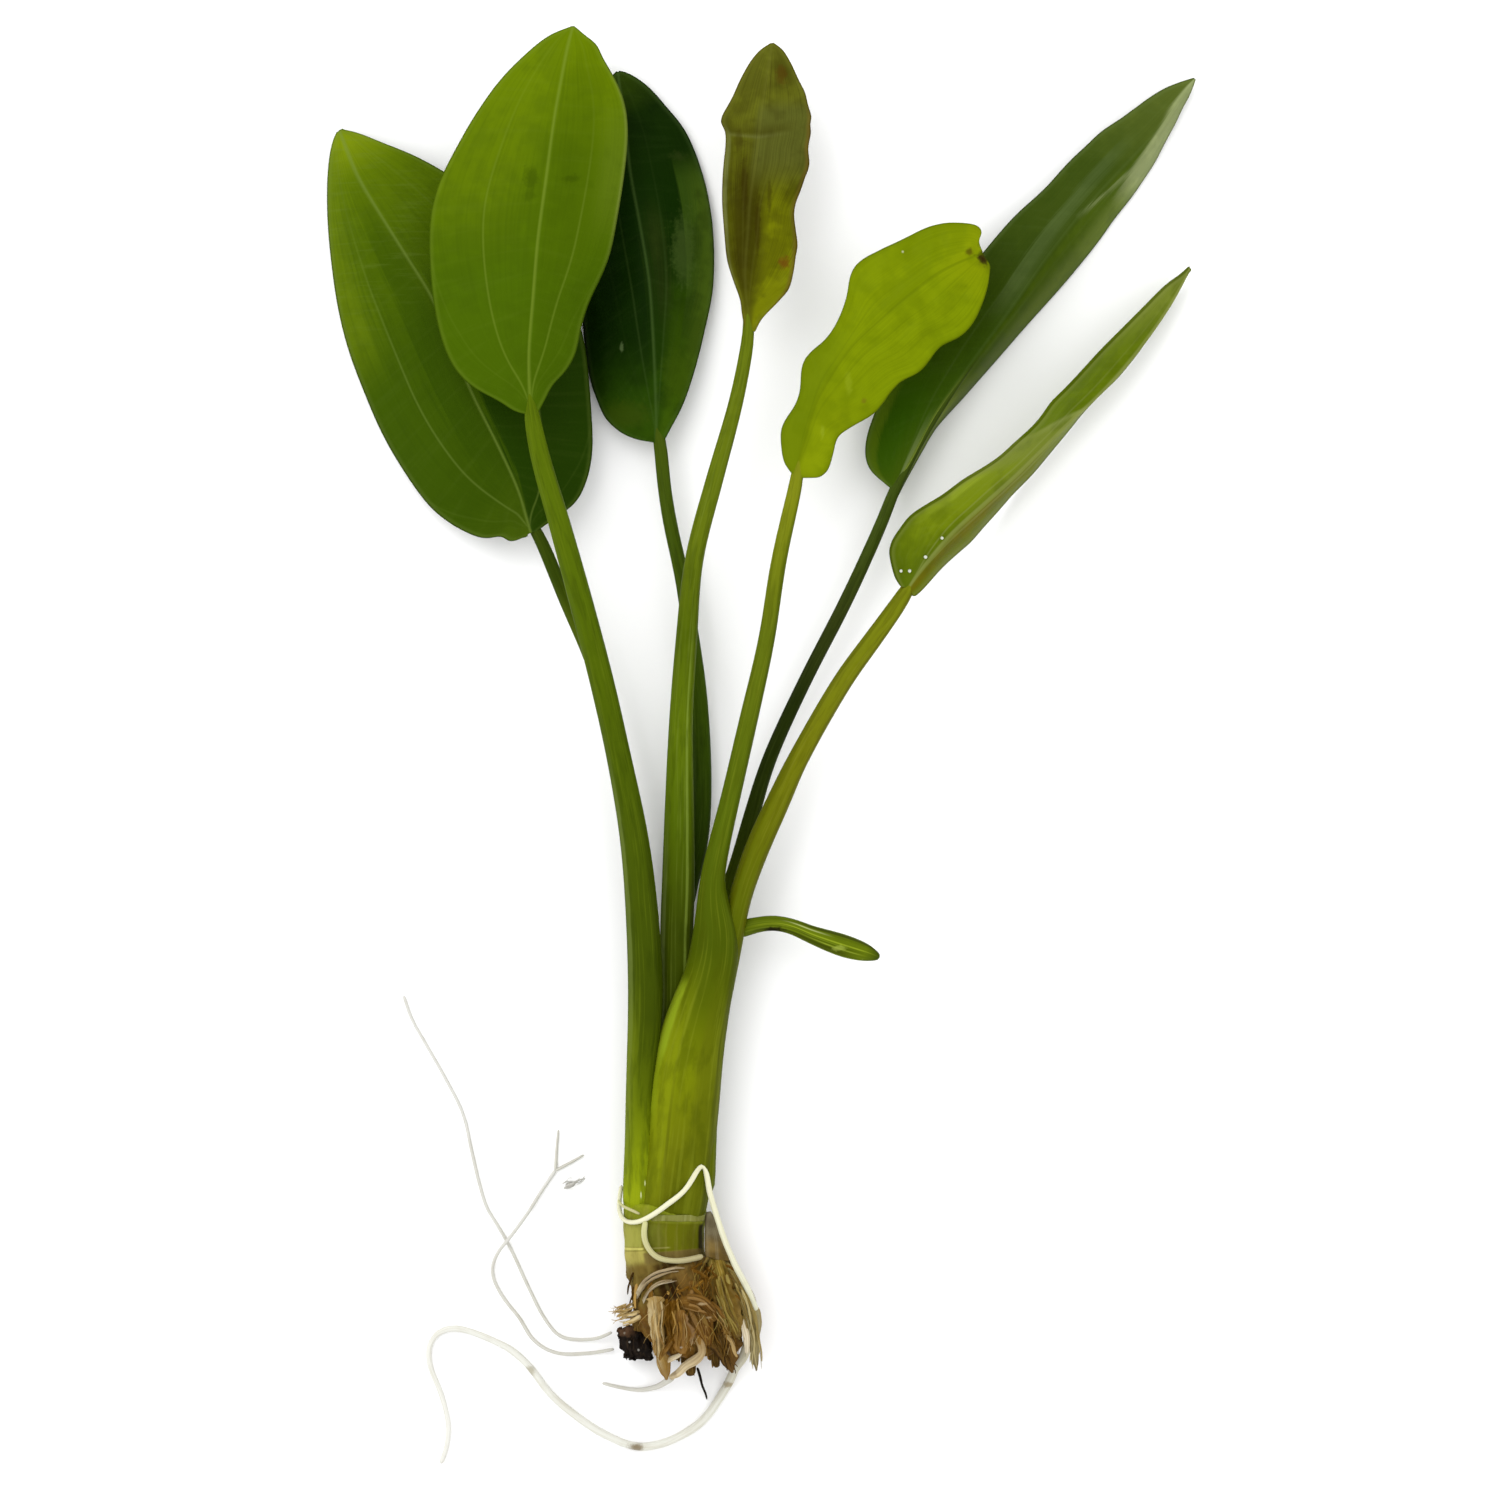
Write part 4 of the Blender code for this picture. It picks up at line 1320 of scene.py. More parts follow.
@dataclass(frozen=True)
class Scatter:
    """Torn scraps or fibres round the rootstock: one is modelled, and the others are its copies.

    The template's line runs from the origin towards -Y. Angles are in degrees round the rootstock, from
    0 on top to the right.
    """

    name: str
    template: tuple[Station, ...]
    finish: TubeFinish
    count: int
    seed: int
    angles: tuple[float, float]
    starts: tuple[float, float]
    sizes: tuple[float, float] = (0.7, 1.2)
    outwards: tuple[float, float] = (0.05, 0.35)
    depth: tuple[float, float] = (0.85, 1.0)
    sides: int = 8
    lean: float = 0.25
    ridges: dict[int, float] = field(default_factory=dict)

    def _pose(self, chance: random.Random, crown: Sequence[Station]) -> Matrix:
        """Draws one copy's place on the rootstock, its direction and its size.

        Args:
            chance: where the random numbers come from.
            crown: the rootstock's stations.

        Returns:
            The copy's matrix.
        """
        angle = math.radians(chance.uniform(*self.angles))
        y = chance.uniform(*self.starts)
        rising = np.array(sorted(crown, key=lambda station: station[1])).T
        x, z, half_width, half_height = (np.interp(y, rising[1], rising[c]) for c in (0, 2, 3, 4))
        depth = chance.uniform(*self.depth)
        out = Vector((math.sin(angle), 0, math.cos(angle)))
        spot = place(x + out.x * half_width * depth, y, z + out.z * half_height * depth)
        level = Vector((chance.uniform(-self.lean, self.lean), -1, 0))
        ahead = (level + out * chance.uniform(*self.outwards)).normalized()
        size = chance.uniform(*self.sizes)
        side = ahead.cross(out).normalized()
        lift = side.cross(ahead)
        turned = Matrix((side, -ahead, lift)).transposed().to_4x4()
        return Matrix.Translation(spot) @ turned @ Matrix.Diagonal((size, size, size, 1))

    def build(self, crown: Sequence[Station]) -> None:
        """Makes the pieces and joins them.

        Args:
            crown: the stations of the rootstock that they lie round.
        """
        shifted = tuple((x + BOX_CENTRE[0], y + BOX_CENTRE[1], *rest) for x, y, *rest in self.template)
        template = Tube(self.name, shifted, self.sides, 1.2, self.ridges, 0.15, self.seed).build()
        chance = random.Random(self.seed)
        copies = []
        for _ in range(self.count):
            copies.append(copied(template, self._pose(chance, crown)))
            store_tone(copies[-1], chance.uniform(-1, 1))
        bpy.data.objects.remove(template)
        finish_piece(joined(copies), self.name, self.finish.material())


@dataclass(frozen=True)
class Lump:
    """A crumbly lump: a ball that is drawn out to size, then broken up at a coarse and a fine scale."""

    name: str
    centre: Station
    radii: Station
    coarse: float
    fine: float
    finish: TubeFinish
    slot: Slot
    replaces: str
    side_cut: float = 0.68
    foot: float = 0.05

    def build(self) -> None:
        """Makes the lump, with a flat foot where it meets the surface."""
        Bench.clear()
        bpy.ops.mesh.primitive_ico_sphere_add(subdivisions=5, radius=1)
        piece = bpy.context.object
        bench = Bench(piece)
        bench.pick(lambda vert: True)
        for axis, side in ((0, 1), (0, -1), (1, 1), (1, -1)):
            bench.pick(lambda vert, axis=axis, side=side: vert.co[axis] * side > self.side_cut)
            factors = [0.25 if number == axis else 1.08 for number in range(3)]
            bench.scale(factors, [self.side_cut * side if number == axis else 0.0 for number in range(3)])
        bench.pick(lambda vert: vert.co.x < -0.3 and vert.co.y < -0.3)
        bench.move((0.22, 0, 0))
        bench.pick(lambda vert: vert.co.x < -0.4 and vert.co.y > 0.3)
        bench.move((-0.06, -0.1, 0))
        bench.pick(lambda vert: True)
        bench.scale([radius * MM for radius in self.radii], (0, 0, 0))
        bench.move(place(*self.centre))
        bench.done()
        for depth, size, kind in ((self.coarse, 0.9, "VORONOI"), (self.fine, 0.22, "CLOUDS")):
            crumbs = bpy.data.textures.new(self.name + kind.lower(), kind)
            crumbs.noise_scale = size * max(self.radii) * MM
            apply_modifier(piece, "DISPLACE", texture=crumbs, texture_coords="LOCAL",
                           strength=depth * MM, mid_level=0.6)
        bench = Bench(piece)
        bench.pick(lambda vert: vert.co.z < self.foot * MM)
        bench.scale((1, 1, 0), (0, 0, self.foot * MM))
        bench.done()
        points = np.array([vert.co for vert in piece.data.vertices]) / MM
        away = points - points.mean(axis=0)
        away /= np.maximum(np.linalg.norm(away, axis=1), 0.01)[:, None]
        along = points[:, 1] - points[:, 1].min()
        store_vector(piece, "tube_place", np.column_stack((away[:, 0], away[:, 2], along)))
        finish_piece(piece, self.name, self.finish.material(), [self.replaces])


@dataclass(frozen=True)
class Drops:
    """Drops of water that stand on a blade; each spot gives x, y, z and a radius."""

    spots: tuple[Station, ...]
    # the drops' pale, whitish colour is a painted highlight that stands for their glints
    tint: tuple[float, ...] = (0.62, 0.64, 0.56, 1.0)

    def build(self) -> None:
        """Models one drop, copies it and joins the copies."""
        material, _, _ = new_surface("water", 0.03, Base_Color=self.tint, Transmission_Weight=0.2, IOR=1.33)
        Bench.clear()
        bpy.ops.mesh.primitive_uv_sphere_add(segments=20, ring_count=12, radius=1)
        template = bpy.context.object
        bench = Bench(template)
        bench.pick(lambda vert: vert.co.z < -0.2)
        bench.scale((1.1, 1.1, 0.25), (0, 0, -0.2))
        bench.done()
        copies = []
        for x, y, z, radius in self.spots:
            size = radius * MM
            shape = Matrix.Diagonal((size, size, 0.7 * size, 1))
            copies.append(copied(template, Matrix.Translation(place(x, y, z)) @ shape))
        bpy.data.objects.remove(template)
        finish_piece(joined(copies), "water_drops", material)


@dataclass(frozen=True)
class Studio:
    """A plain pale floor, soft light, and a camera straight above, where the photo's eye was."""

    floor_size: float = 6.0
    floor_drop: float = 0.0001
    floor_tone: tuple[float, ...] = (0.92, 0.92, 0.92, 1.0)
    sky: float = 1.35
    key_place: tuple[float, float, float] = (-0.55, 0.6, 1.1)
    key_size: float = 0.9
    key_power: float = 6.0

    def build(self) -> None:
        """Sets the stage."""
        Bench.clear()
        bpy.ops.mesh.primitive_plane_add(size=self.floor_size, location=(0, 0, -self.floor_drop))
        bpy.ops.object.transform_apply(location=True)
        floor = bpy.context.object
        floor.name = "floor"
        material, _, _ = new_surface(
            "pale_floor", 0.9, Specular_IOR_Level=0.1, Base_Color=self.floor_tone)
        floor.data.materials.append(material)
        scene = bpy.context.scene
        scene.view_settings.view_transform = "Standard"
        world = bpy.data.worlds.new("soft_sky")
        world.use_nodes = True
        sky = world.node_tree.nodes["Background"]
        sky.inputs["Color"].default_value = (1, 1, 1, 1)
        sky.inputs["Strength"].default_value = self.sky
        scene.world = world
        light = bpy.data.lights.new("key_light", "AREA")
        light.size = self.key_size
        light.energy = self.key_power
        key = bpy.data.objects.new("key_light", light)
        key.location = self.key_place
        key.rotation_euler = (-Vector(self.key_place)).to_track_quat("-Z", "Y").to_euler()
        scene.collection.objects.link(key)
        lens = bpy.data.cameras.new("camera")
        lens.sensor_width = SENSOR_WIDTH
        lens.lens = SENSOR_WIDTH * EYE[2] / FRAME_WIDTH
        camera = bpy.data.objects.new("camera", lens)
        camera.location = place(*EYE[:2], 0) + Vector((0, 0, EYE[2] * MM))
        scene.collection.objects.link(camera)
        scene.camera = camera


def root_skin(name: str, first: Colour, last: Colour, streak: Colour, light: Colour, length: float = 16.0,
              covers: tuple[float, float] = (0.6, 0.45), roughness: float = 0.7, rib_depth: float = 0.4,
              patches: tuple[Patch, ...] = ()) -> TubeFinish:
    """A root's skin, from a first tone to a last one; the covers are those of streaks and lights."""
    return TubeFinish(name, ((0.0, first), (1.0, last)), streak, light, *covers, length=length,
                      roughness=roughness, rib_depth=rib_depth, patches=patches, mottle=covers[0])


def flap(name: str, midrib: tuple[Station, ...], left: tuple[Station, ...], right: tuple[Station, ...],
         tones: Tones, dark: Colour, light: Colour, panels: tuple[Panel, ...] = (),
         patches: tuple[Patch, ...] = ()) -> Blade:
    """A broad torn band of root skin that lies over the root ends.

    Args:
        name: the piece's name.
        midrib, left, right: its lines, as in a blade.
        tones: its colours along it.
        dark, light: what its mottling and its veins are coloured.
        panels, patches: what is painted over them.

    Returns:
        The band.
    """
    skin = LeafFinish(name + "_skin", tones, dark, light, dark, panels, patches, mottle=0.45, lines=0.42,
                      vein_cover=0.1, side_cover=0.3, rim_cover=0.1, edge_cover=0.12, roughness=0.75,
                      relief=(0.8, 0.5))
    return Blade(name, midrib, left, right, skin, Slot.ROOT_STUB, (), thickness=0.4, rows=26, crinkle=2.4,
                 crinkle_size=1.3, groove=0.15, ragged=0.28)


def loose_fibres(band: Blade, skin: TubeFinish, count: int) -> Tuft:
    """Loose fibres that lie over a torn band of root skin.

    Args:
        band: the band.
        skin: their finish.
        count: how many they are.

    Returns:
        The fibres.
    """
    route = tuple((x, y, z + 0.3, 1.2) for x, y, z, _, _ in band.midrib)
    return Tuft(band.name + "_fibres", skin, route, 0.0, count, (0.12, 0.3), (0.5, 1.0), 0.6, 0.7,
                in_frame=False, sag=0.9)


# The leaves: each blade's skin, the blade, the stem's skin and the leaf.
BRIGHT_SKIN = LeafFinish("bright_skin",
    ((0, 0x486403), (0.35, 0x4c6902), (0.65, 0x587202), (0.95, 0x748d02)), 0x3c5400, 0x809630, 0x384c06,
    panels=(
        Panel(-1.2, -0.25, 0.5, 0.95, 0x6c8403, 0.6, (0.1, 0.3, 0.14, 0.1)),
        Panel(0.02, 0.6, 0.35, 0.86, 0x4c6602, 0.5, (0.1, 0.2, 0.1, 0.1)),
        Panel(0.7, 1.2, 0.5, 0.74, 0x688018, 0.6, (0.15, 0.1, 0.1, 0.1)),
        Panel(0.965, 1.2, 0.45, 0.85, 0x8c9e42, 0.7, (0.02, 0.1, 0.1, 0.1), streaks=0)), patches=(
    Patch((-46, 113.6, 24), 2.4, 0x3a5000, 0.55, (0.7, 1.3)), Patch((-46.4, 110, 24), 1.6, 0x3a5000, 0.4),
    Patch((-38.1, 113.4, 24), 1.8, 0x3a5000, 0.55, (1.5, 0.6))))
BRIGHT_BLADE = Blade("bright_blade", (
    (-46.1, 66.6, 23.2, 0.3, 0.3), (-46.3, 69.4, 23.6, 0.6, 0.8), (-46.5, 73, 24, 1, 2),
    (-46.5, 79, 24.4, 1.5, 3.5), (-45.7, 89, 24.6, 2, 6), (-44.7, 101, 24.4, 2.2, 7.5),
    (-43.1, 113, 23.8, 2, 7), (-41.5, 125, 22.8, 1.6, 5), (-39.9, 134, 21.8, 1.1, 2.5),
    (-38.7, 140, 21, 0.5, 0.8), (-37.7, 143.8, 20.5, 0, 0)), (
    (-47.5, 66.2), (-49.5, 66.8), (-52.3, 68.6), (-58.3, 72), (-61.9, 76), (-64.3, 82), (-65.7, 89),
    (-66.5, 99), (-66.1, 107), (-64.3, 113), (-61.3, 119), (-57.3, 126), (-52.3, 133), (-46.3, 139),
    (-42.3, 142), (-38, 143.8)), (
    (-44.7, 66.4), (-43.3, 69), (-41.7, 72), (-39.1, 74.8), (-37.1, 78.4), (-35.9, 84), (-34.3, 89),
    (-32.3, 93), (-30.3, 98), (-28.7, 106), (-27.3, 115), (-26.7, 123), (-27.5, 129), (-29.7, 134),
    (-31.7, 137.4), (-32.9, 140), (-35.3, 142), (-37.4, 143.8)), BRIGHT_SKIN, Slot.BRIGHT_LEAF,
    ("bright_leaf_blade",), vein_share=0.56, vein_settles=15)
BRIGHT_STEM_SKIN = TubeFinish("bright_petiole_skin", (
    (0, 0xa6b518), (0.07, 0x8e9e0c), (0.17, 0x5e6e06), (0.27, 0x415003), (0.45, 0x475804), (0.7, 0x506403),
    (0.95, 0x5a7006)), 0x324200, 0x7a8c1a, panels=(
    # painted highlight: a light line down the stem's left edge
    stripe(-0.86, 0.14, 0.1, 0.6, 0x6c7c34, 0.7),
    Panel(-1.2, -0.35, 0.08, 0.28, 0x748410, 0.6, (0.1, 0.3, 0.05, 0.08)),
    # painted shade: the stem's right side is darkened
    stripe(0.75, 0.2, 0.18, 0.5, 0x364402, 0.6)), patches=(
    # painted highlights: the three pale specks near the stem's base are painted glints
    Patch((-22.3, -85.4, 14), 0.7, 0xf0f4be, 0.8, (0.3, 1.6)),
    Patch((-23.3, -87.6, 14), 0.6, 0xe8eeaa, 0.8, (0.3, 1.6)),
    Patch((-24.1, -90, 14), 0.6, 0xf0f4be, 0.8, (0.3, 1.8))))
BRIGHT = Leaf("bright", (
    (-24.2, -94.8, 9.8, 3.2, 2.6), (-24, -92.4, 10.5, 3.5, 3), (-24, -90, 10.9, 3.7, 3.2),
    (-24.2, -81, 11.2, 3.1, 3.3), (-24.3, -71, 11.5, 2.8, 3.3), (-23.2, -51, 12.5, 3.4, 3.1),
    (-23.8, -35, 14, 3.2, 2.9), (-25.4, -19, 15.5, 2.8, 2.6), (-28.4, -3, 17, 2.4, 2.3),
    (-32, 13, 18.5, 2.35, 2.2), (-36.2, 29, 20, 2.3, 2.1), (-40.6, 45, 21.5, 2.1, 2),
    (-44.1, 57, 22.3, 1.9, 1.7), (-46, 66.2, 22.7, 1.5, 1.1)), BRIGHT_BLADE, BRIGHT_STEM_SKIN)

LEFT_SKIN = LeafFinish("left_skin", (
    (0, 0x485f08), (0.15, 0x3b5403), (0.5, 0x405a02), (0.76, 0x546d03), (0.88, 0x607804),
    (0.96, 0x7e930c)), 0x2a4200, 0x788e3a, 0x304206, panels=(
    Panel(-1.2, -0.7, 0.52, 0.95, 0x687f08, 0.7, (0.1, 0.2, 0.08, 0.05)),
    # painted shade: the right half is darkened, in the bright leaf's shadow and turned away from the light
    Panel(0.04, 1.2, -0.2, 0.58, 0x213c02, 0.9, (0.03, 0.1, 0.1, 0.1)),
    Panel(-0.34, -0.03, 0.2, 0.8, 0x324c01, 0.5, (0.04, 0.05, 0.1, 0.15))), grain=0.14, mottle=0.15)
LEFT_BLADE = Blade("left_blade", (
    (-46.1, 42.4, 10.4, 0.3, 0.3), (-46.9, 45, 10.5, 1.2, 1), (-48.7, 51, 11, 4, 2.9),
    (-52.3, 59, 11.4, 7.4, 4.8), (-58.7, 72, 12, 11.6, 7), (-65.7, 89, 12, 11.9, 6.9),
    (-70.3, 96.6, 11, 11, 6.4), (-75.3, 104.6, 9.2, 9, 5), (-80.3, 113, 6.6, 5.8, 3),
    (-83.1, 119.6, 4, 2.6, 1.2), (-84.3, 122.8, 2.5, 0, 0)), (
    (-47.1, 42.2), (-48.9, 41), (-50.7, 40.8), (-51.7, 42), (-52.9, 41.8), (-55.3, 41.4), (-58.3, 42.4),
    (-62.3, 44.6), (-66.3, 48), (-71.3, 55), (-75.9, 63), (-79.3, 71), (-82.3, 79), (-84.3, 87),
    (-85.5, 95), (-86.3, 103), (-86.5, 111), (-86.1, 117), (-85.3, 121), (-84.6, 122.6)), (
    (-45.1, 42.8), (-42.9, 44.4), (-40.3, 46.2), (-38.3, 47.6), (-36.3, 50), (-34.5, 55), (-33.9, 60),
    (-34.1, 65), (-34.7, 73), (-35.7, 81), (-38.3, 89), (-43.3, 97), (-50.3, 104.6), (-56.3, 109.6),
    (-62.9, 114), (-66.3, 116), (-70.3, 118), (-75.3, 120), (-80.3, 122), (-84, 123)), LEFT_SKIN,
    Slot.DEEP_LEAF, ("left_leaf_blade",), vein_share=0.56, vein_settles=10)
LEFT_STEM_SKIN = TubeFinish("left_petiole_skin",
    ((0.1, 0x647308), (0.27, 0x384602), (0.45, 0x485804), (0.7, 0x5e6f09), (0.84, 0x3a4c08)), 0x2c3c00,
    0x687a14)
LEFT = Leaf("left", (
    (-22.6, -90, 5, 2.2, 2.1), (-22.8, -71, 5, 2.2, 2), (-22.4, -51, 5.5, 2, 1.9),
    (-24, -31, 6.5, 1.8, 1.7), (-26.6, -11, 7.5, 1.6, 1.5), (-30.2, 5, 8.3, 1.4, 1.4),
    (-34, 17, 9, 1.35, 1.3), (-39.2, 29, 9.6, 1.3, 1.2), (-42.4, 37, 9.8, 1.3, 1.1),
    (-44.6, 42, 9.8, 1.2, 0.9)), LEFT_BLADE, LEFT_STEM_SKIN)

DARK_SKIN = LeafFinish("dark_skin", (
    (0, 0x345204), (0.14, 0x2a4803), (0.34, 0x1e3a03), (0.6, 0x142e02), (0.87, 0x162c02),
    (0.97, 0x364c08)), 0x081a00, 0x546e34, 0x182808, panels=(
    # painted shade: the left half is darkened under the bright leaf
    Panel(-1.2, -0.03, 0.22, 0.92, 0x0f2602, 0.8, (0.1, 0.05, 0.12, 0.1)),
    Panel(0.3, 1.2, -0.1, 0.38, 0x446208, 0.75, (0.2, 0.1, 0.1, 0.1)),
    # painted sheen: these two panels lighten the right half, with a sharp left edge
    Panel(0.55, 1.2, 0.3, 0.7, 0x3a5412, 0.95, (0.012, 0.1, 0.12, 0.05), drift=0.2, streaks=0.04),
    Panel(0.72, 1.2, 0.2, 0.66, 0x58721a, 0.7, (0.15, 0.1, 0.12, 0.08), drift=0.2, streaks=0.5),
    Panel(0.06, 0.3, 0.34, 0.6, 0x364014, 0.5, streaks=0.5)), patches=(
    # painted highlight: the first patch is a small light glint
    Patch((-28, 79.6, 6.5), 1.1, 0x687e4c, 0.6, (0.5, 1.3)),
    Patch((-27.6, 66, 6.5), 5, 0x3e500a, 0.5, (1.4, 0.8)),
    Patch((-17, 74, 6.5), 5, 0x3e5608, 0.5, (0.8, 1.4)),
    Patch((-15.6, 99, 7.5), 6, 0x4e6428, 0.5, (0.5, 1.6)),
    Patch((-16.4, 118, 8), 2.6, 0x344216, 0.5, (1, 0.6))), mottle=0.3, vein_cover=0.35, side_cover=0.14)
DARK_BLADE = Blade("dark_blade", (
    (-21.1, 60.4, 6.6, 0.3, 0.3), (-21.1, 62.4, 6.8, 1, 0.4), (-21.1, 66, 7.1, 2, 1),
    (-21.3, 73, 7.6, 4.4, 2.5), (-21.7, 82, 8.2, 7.4, 4.5), (-22.5, 93, 8.6, 8.8, 6),
    (-24.3, 104, 8.4, 8.4, 6.5), (-26.3, 115, 7.6, 6, 6), (-27.3, 125, 6, 3, 4), (-28.3, 131, 4.6, 1, 2),
    (-28.7, 134.6, 3.6, 0, 0)), (
    (-22.3, 60.6), (-25.3, 61.2), (-28.3, 62.6), (-31.3, 65.4), (-32.9, 69), (-34.3, 73), (-35.5, 82),
    (-36.3, 91.6), (-36.9, 102), (-36.3, 113.2), (-33.7, 123.8), (-31.9, 130.2), (-30.3, 133.4),
    (-29, 134.8)), (
    (-19.9, 60), (-18.3, 63), (-15.7, 68), (-13.3, 75), (-11.3, 83), (-9.7, 91), (-9.5, 100), (-10.3, 108),
    (-12.3, 116), (-15.3, 123), (-19.3, 128), (-21.9, 131), (-24.3, 133), (-26.7, 134.4), (-28.4, 134.9)),
    DARK_SKIN, Slot.DEEP_LEAF, ("dark_leaf_blade",))
DARK_STEM_SKIN = TubeFinish("dark_petiole_skin",
    ((0.3, 0x324604), (0.5, 0x304604), (0.65, 0x3e5607), (0.95, 0x495c0e)), 0x243400, 0x607428)
DARK = Leaf("dark", (
    (-17, -90, 3.6, 2.4, 1.8), (-17.2, -71, 3.6, 2.4, 1.8), (-17.6, -51, 3.8, 2.3, 1.8),
    (-17, -39, 4, 2.2, 1.8), (-14.6, -27, 4.2, 2.1, 1.8), (-12.6, -19, 4.4, 2, 1.7),
    (-11.9, -7, 4.6, 1.9, 1.7), (-12.6, 9, 5, 1.8, 1.6), (-14, 21, 5.3, 1.6, 1.5),
    (-15.8, 33, 5.6, 1.4, 1.3), (-18.4, 45, 5.9, 1.35, 1.2), (-19.6, 53, 6, 1.3, 1.1),
    (-20.2, 60, 6, 1.3, 0.9)), DARK_BLADE, DARK_STEM_SKIN)

BRONZE_SKIN = LeafFinish("bronze_skin",
    ((0, 0x686c0a), (0.15, 0x5e6108), (0.4, 0x525406), (0.6, 0x5e6110), (0.97, 0x747a20)), 0x322c02,
    0x7e8032, 0x54460e, panels=(
    Panel(0.3, 1.2, -0.1, 0.48, 0x828906, 0.9, (0.15, 0.1, 0.1, 0.12), streaks=0.5),
    Panel(-0.6, 0.12, 0.1, 0.57, 0x3c3802, 0.75, (0.15, 0.12, 0.1, 0.08), streaks=1),
    Panel(-0.1, 1.2, 0.54, 0.78, 0x5d6226, 0.75, (0.15, 0.1, 0.08, 0.03)),
    Panel(0.1, 0.8, 0.82, 0.95, 0x48460a, 0.6, streaks=0.8),
    Panel(-0.9, 0.3, 0.664, 0.674, 0x7a7e46, 0.4, (0.1, 0.4, 0.006, 0.01), skew=0.022, streaks=0.8),
    Panel(-0.9, 0.6, 0.675, 0.7, 0x424006, 0.5, (0.1, 0.2, 0.01, 0.02), skew=0.022, streaks=0.8),
    stripe(-0.92, 0.1, 0.14, 0.66, 0x80864c, 0.6), stripe(0.98, 0.07, 0.1, 0.75, 0x704a1a, 0.5)), patches=(
    Patch((4.7, 96.4, 18), 1.6, 0x703c0e, 0.7), Patch((4.1, 134.4, 17), 2.2, 0x543a08, 0.6, (0.7, 1.2)),
    Patch((-3.4, 112, 18), 4, 0x322802, 0.6, (0.25, 1.8)),
    Patch((-0.8, 104, 18), 4, 0x362c02, 0.6, (0.2, 2)),
    Patch((1.6, 110, 18), 3, 0x3a3204, 0.5, (0.2, 1.6)),
    Patch((-4.6, 121, 18), 3, 0x3e3804, 0.5, (0.4, 1))), mottle=0.4, lines=0.4, vein_cover=0.15,
    side_cover=0.08)
BRONZE_BLADE = Blade("bronze_blade", (
    (-2.3, 83, 17.1, 0.1, 0.1), (-2.7, 86.6, 17.4, 0.2, 0.4), (-3.1, 90, 17.8, 0.3, 0.8),
    (-3.3, 95, 18.2, 0.6, 1.3), (-2.8, 102, 18.5, 1, 1.8), (-2.3, 109, 18.6, 1.4, 2),
    (-1.3, 116, 18.4, 1.6, 2.2), (-0.3, 124, 17.8, 1.6, 2), (0.5, 130, 17, 1.2, 1.5),
    (1.3, 135.4, 16, 0.7, 0.8), (2.1, 140.4, 14.8, 0, 0)), (
    (-3.3, 83), (-3.9, 86), (-4.3, 89), (-5.7, 93), (-6.9, 97), (-7.5, 103), (-7.9, 109), (-7.7, 115),
    (-7.2, 120), (-7.3, 123), (-8.3, 124.6), (-7.5, 126.6), (-5.9, 129.4), (-4.3, 133), (-2.3, 136.6),
    (-0.3, 139), (1.8, 140.4)), (
    (-1.3, 82.6), (0.1, 85.2), (3.7, 89), (5.5, 91.2), (6.3, 94), (6.9, 98), (7.1, 101), (6.5, 106),
    (6.7, 108), (7.9, 111), (8.9, 114), (9.7, 116), (9.3, 119), (9.5, 120.6), (9.9, 122), (9.7, 124),
    (10.1, 125.4), (9.3, 128), (8.7, 130.6), (7.3, 133.4), (6.1, 136), (4.3, 139), (2.4, 140.5)),
    BRONZE_SKIN, Slot.BRONZE_LEAF, ("bronze_leaf_blade",), crinkle=0.95, crinkle_size=3.6, rows=60)
BRONZE_STEM_SKIN = TubeFinish("bronze_petiole_skin", (
    (0, 0x485604), (0.36, 0x445303), (0.5, 0x566c05), (0.62, 0x647a08), (0.75, 0x556804),
    (0.88, 0x697910)), 0x364600, 0x8c9e3c,
    # the first stripe is a painted highlight along the stem's right side
    panels=(stripe(0.55, 0.1, 0.2, 0.72, 0x8ca23e, 0.6), stripe(-0.85, 0.12, 0.1, 0.45, 0x6c7c36, 0.65)))
BRONZE = Leaf("bronze", (
    (-18.2, -90, 8, 2.5, 2.1), (-18.4, -71, 8, 2.6, 2.1), (-17.2, -51, 8.6, 3, 2.2),
    (-17, -39, 9.2, 3.2, 2.2), (-16.6, -27, 10, 3.2, 2.3), (-16.4, -11, 11.5, 2.8, 2.3),
    (-16.1, 5, 12.5, 2.3, 2.1), (-15, 21, 13.5, 2.1, 1.9), (-13.5, 37, 14.5, 1.8, 1.7),
    (-9.4, 53, 15.4, 1.7, 1.5), (-5, 69, 16.1, 1.4, 1.2), (-2.5, 82.4, 16.5, 1.2, 0.9)), BRONZE_BLADE,
    BRONZE_STEM_SKIN)

YELLOW_SKIN = LeafFinish("yellow_skin",
    ((0, 0x7e8e05), (0.4, 0x839604), (0.8, 0x839604), (0.95, 0x8c9b05)), 0x687c00, 0x5e7002, 0x4c5a06,
    panels=(
        Panel(-1.2, -0.04, -0.1, 0.4, 0x708407, 0.75, (0.1, 0.05, 0.1, 0.14)),
        Panel(0.15, 1.2, 0.02, 0.24, 0x94a509, 0.6, (0.12, 0.1, 0.05, 0.08)),
        Panel(0.3, 1.2, 0.95, 1.1, 0x5a620a, 0.5, (0.2, 0.1, 0.02, 0.1))), patches=(
    Patch((44.4, 97.6, 19.3), 1.9, 0x34280a, 1, (0.8, 1.1)), Patch((41.6, 98.6, 19.5), 1, 0x544a08, 0.8),
    # painted highlights: a small glint and two faint light streaks on the crinkles
    Patch((28.2, 98.6, 19), 0.4, 0xe2e4be, 0.8),
    Patch((12.2, 62.6, 19.7), 1.2, 0xa0b232, 0.25, (0.4, 1.4)),
    Patch((17.4, 72.4, 19.7), 2, 0xa0b228, 0.25, (0.5, 1.6)),
    Patch((20.5, 68.8, 19.7), 0.7, 0x786e14, 0.6)), mottle=0.4, lines=0.38, vein_cover=0.4,
    side_cover=0.24)
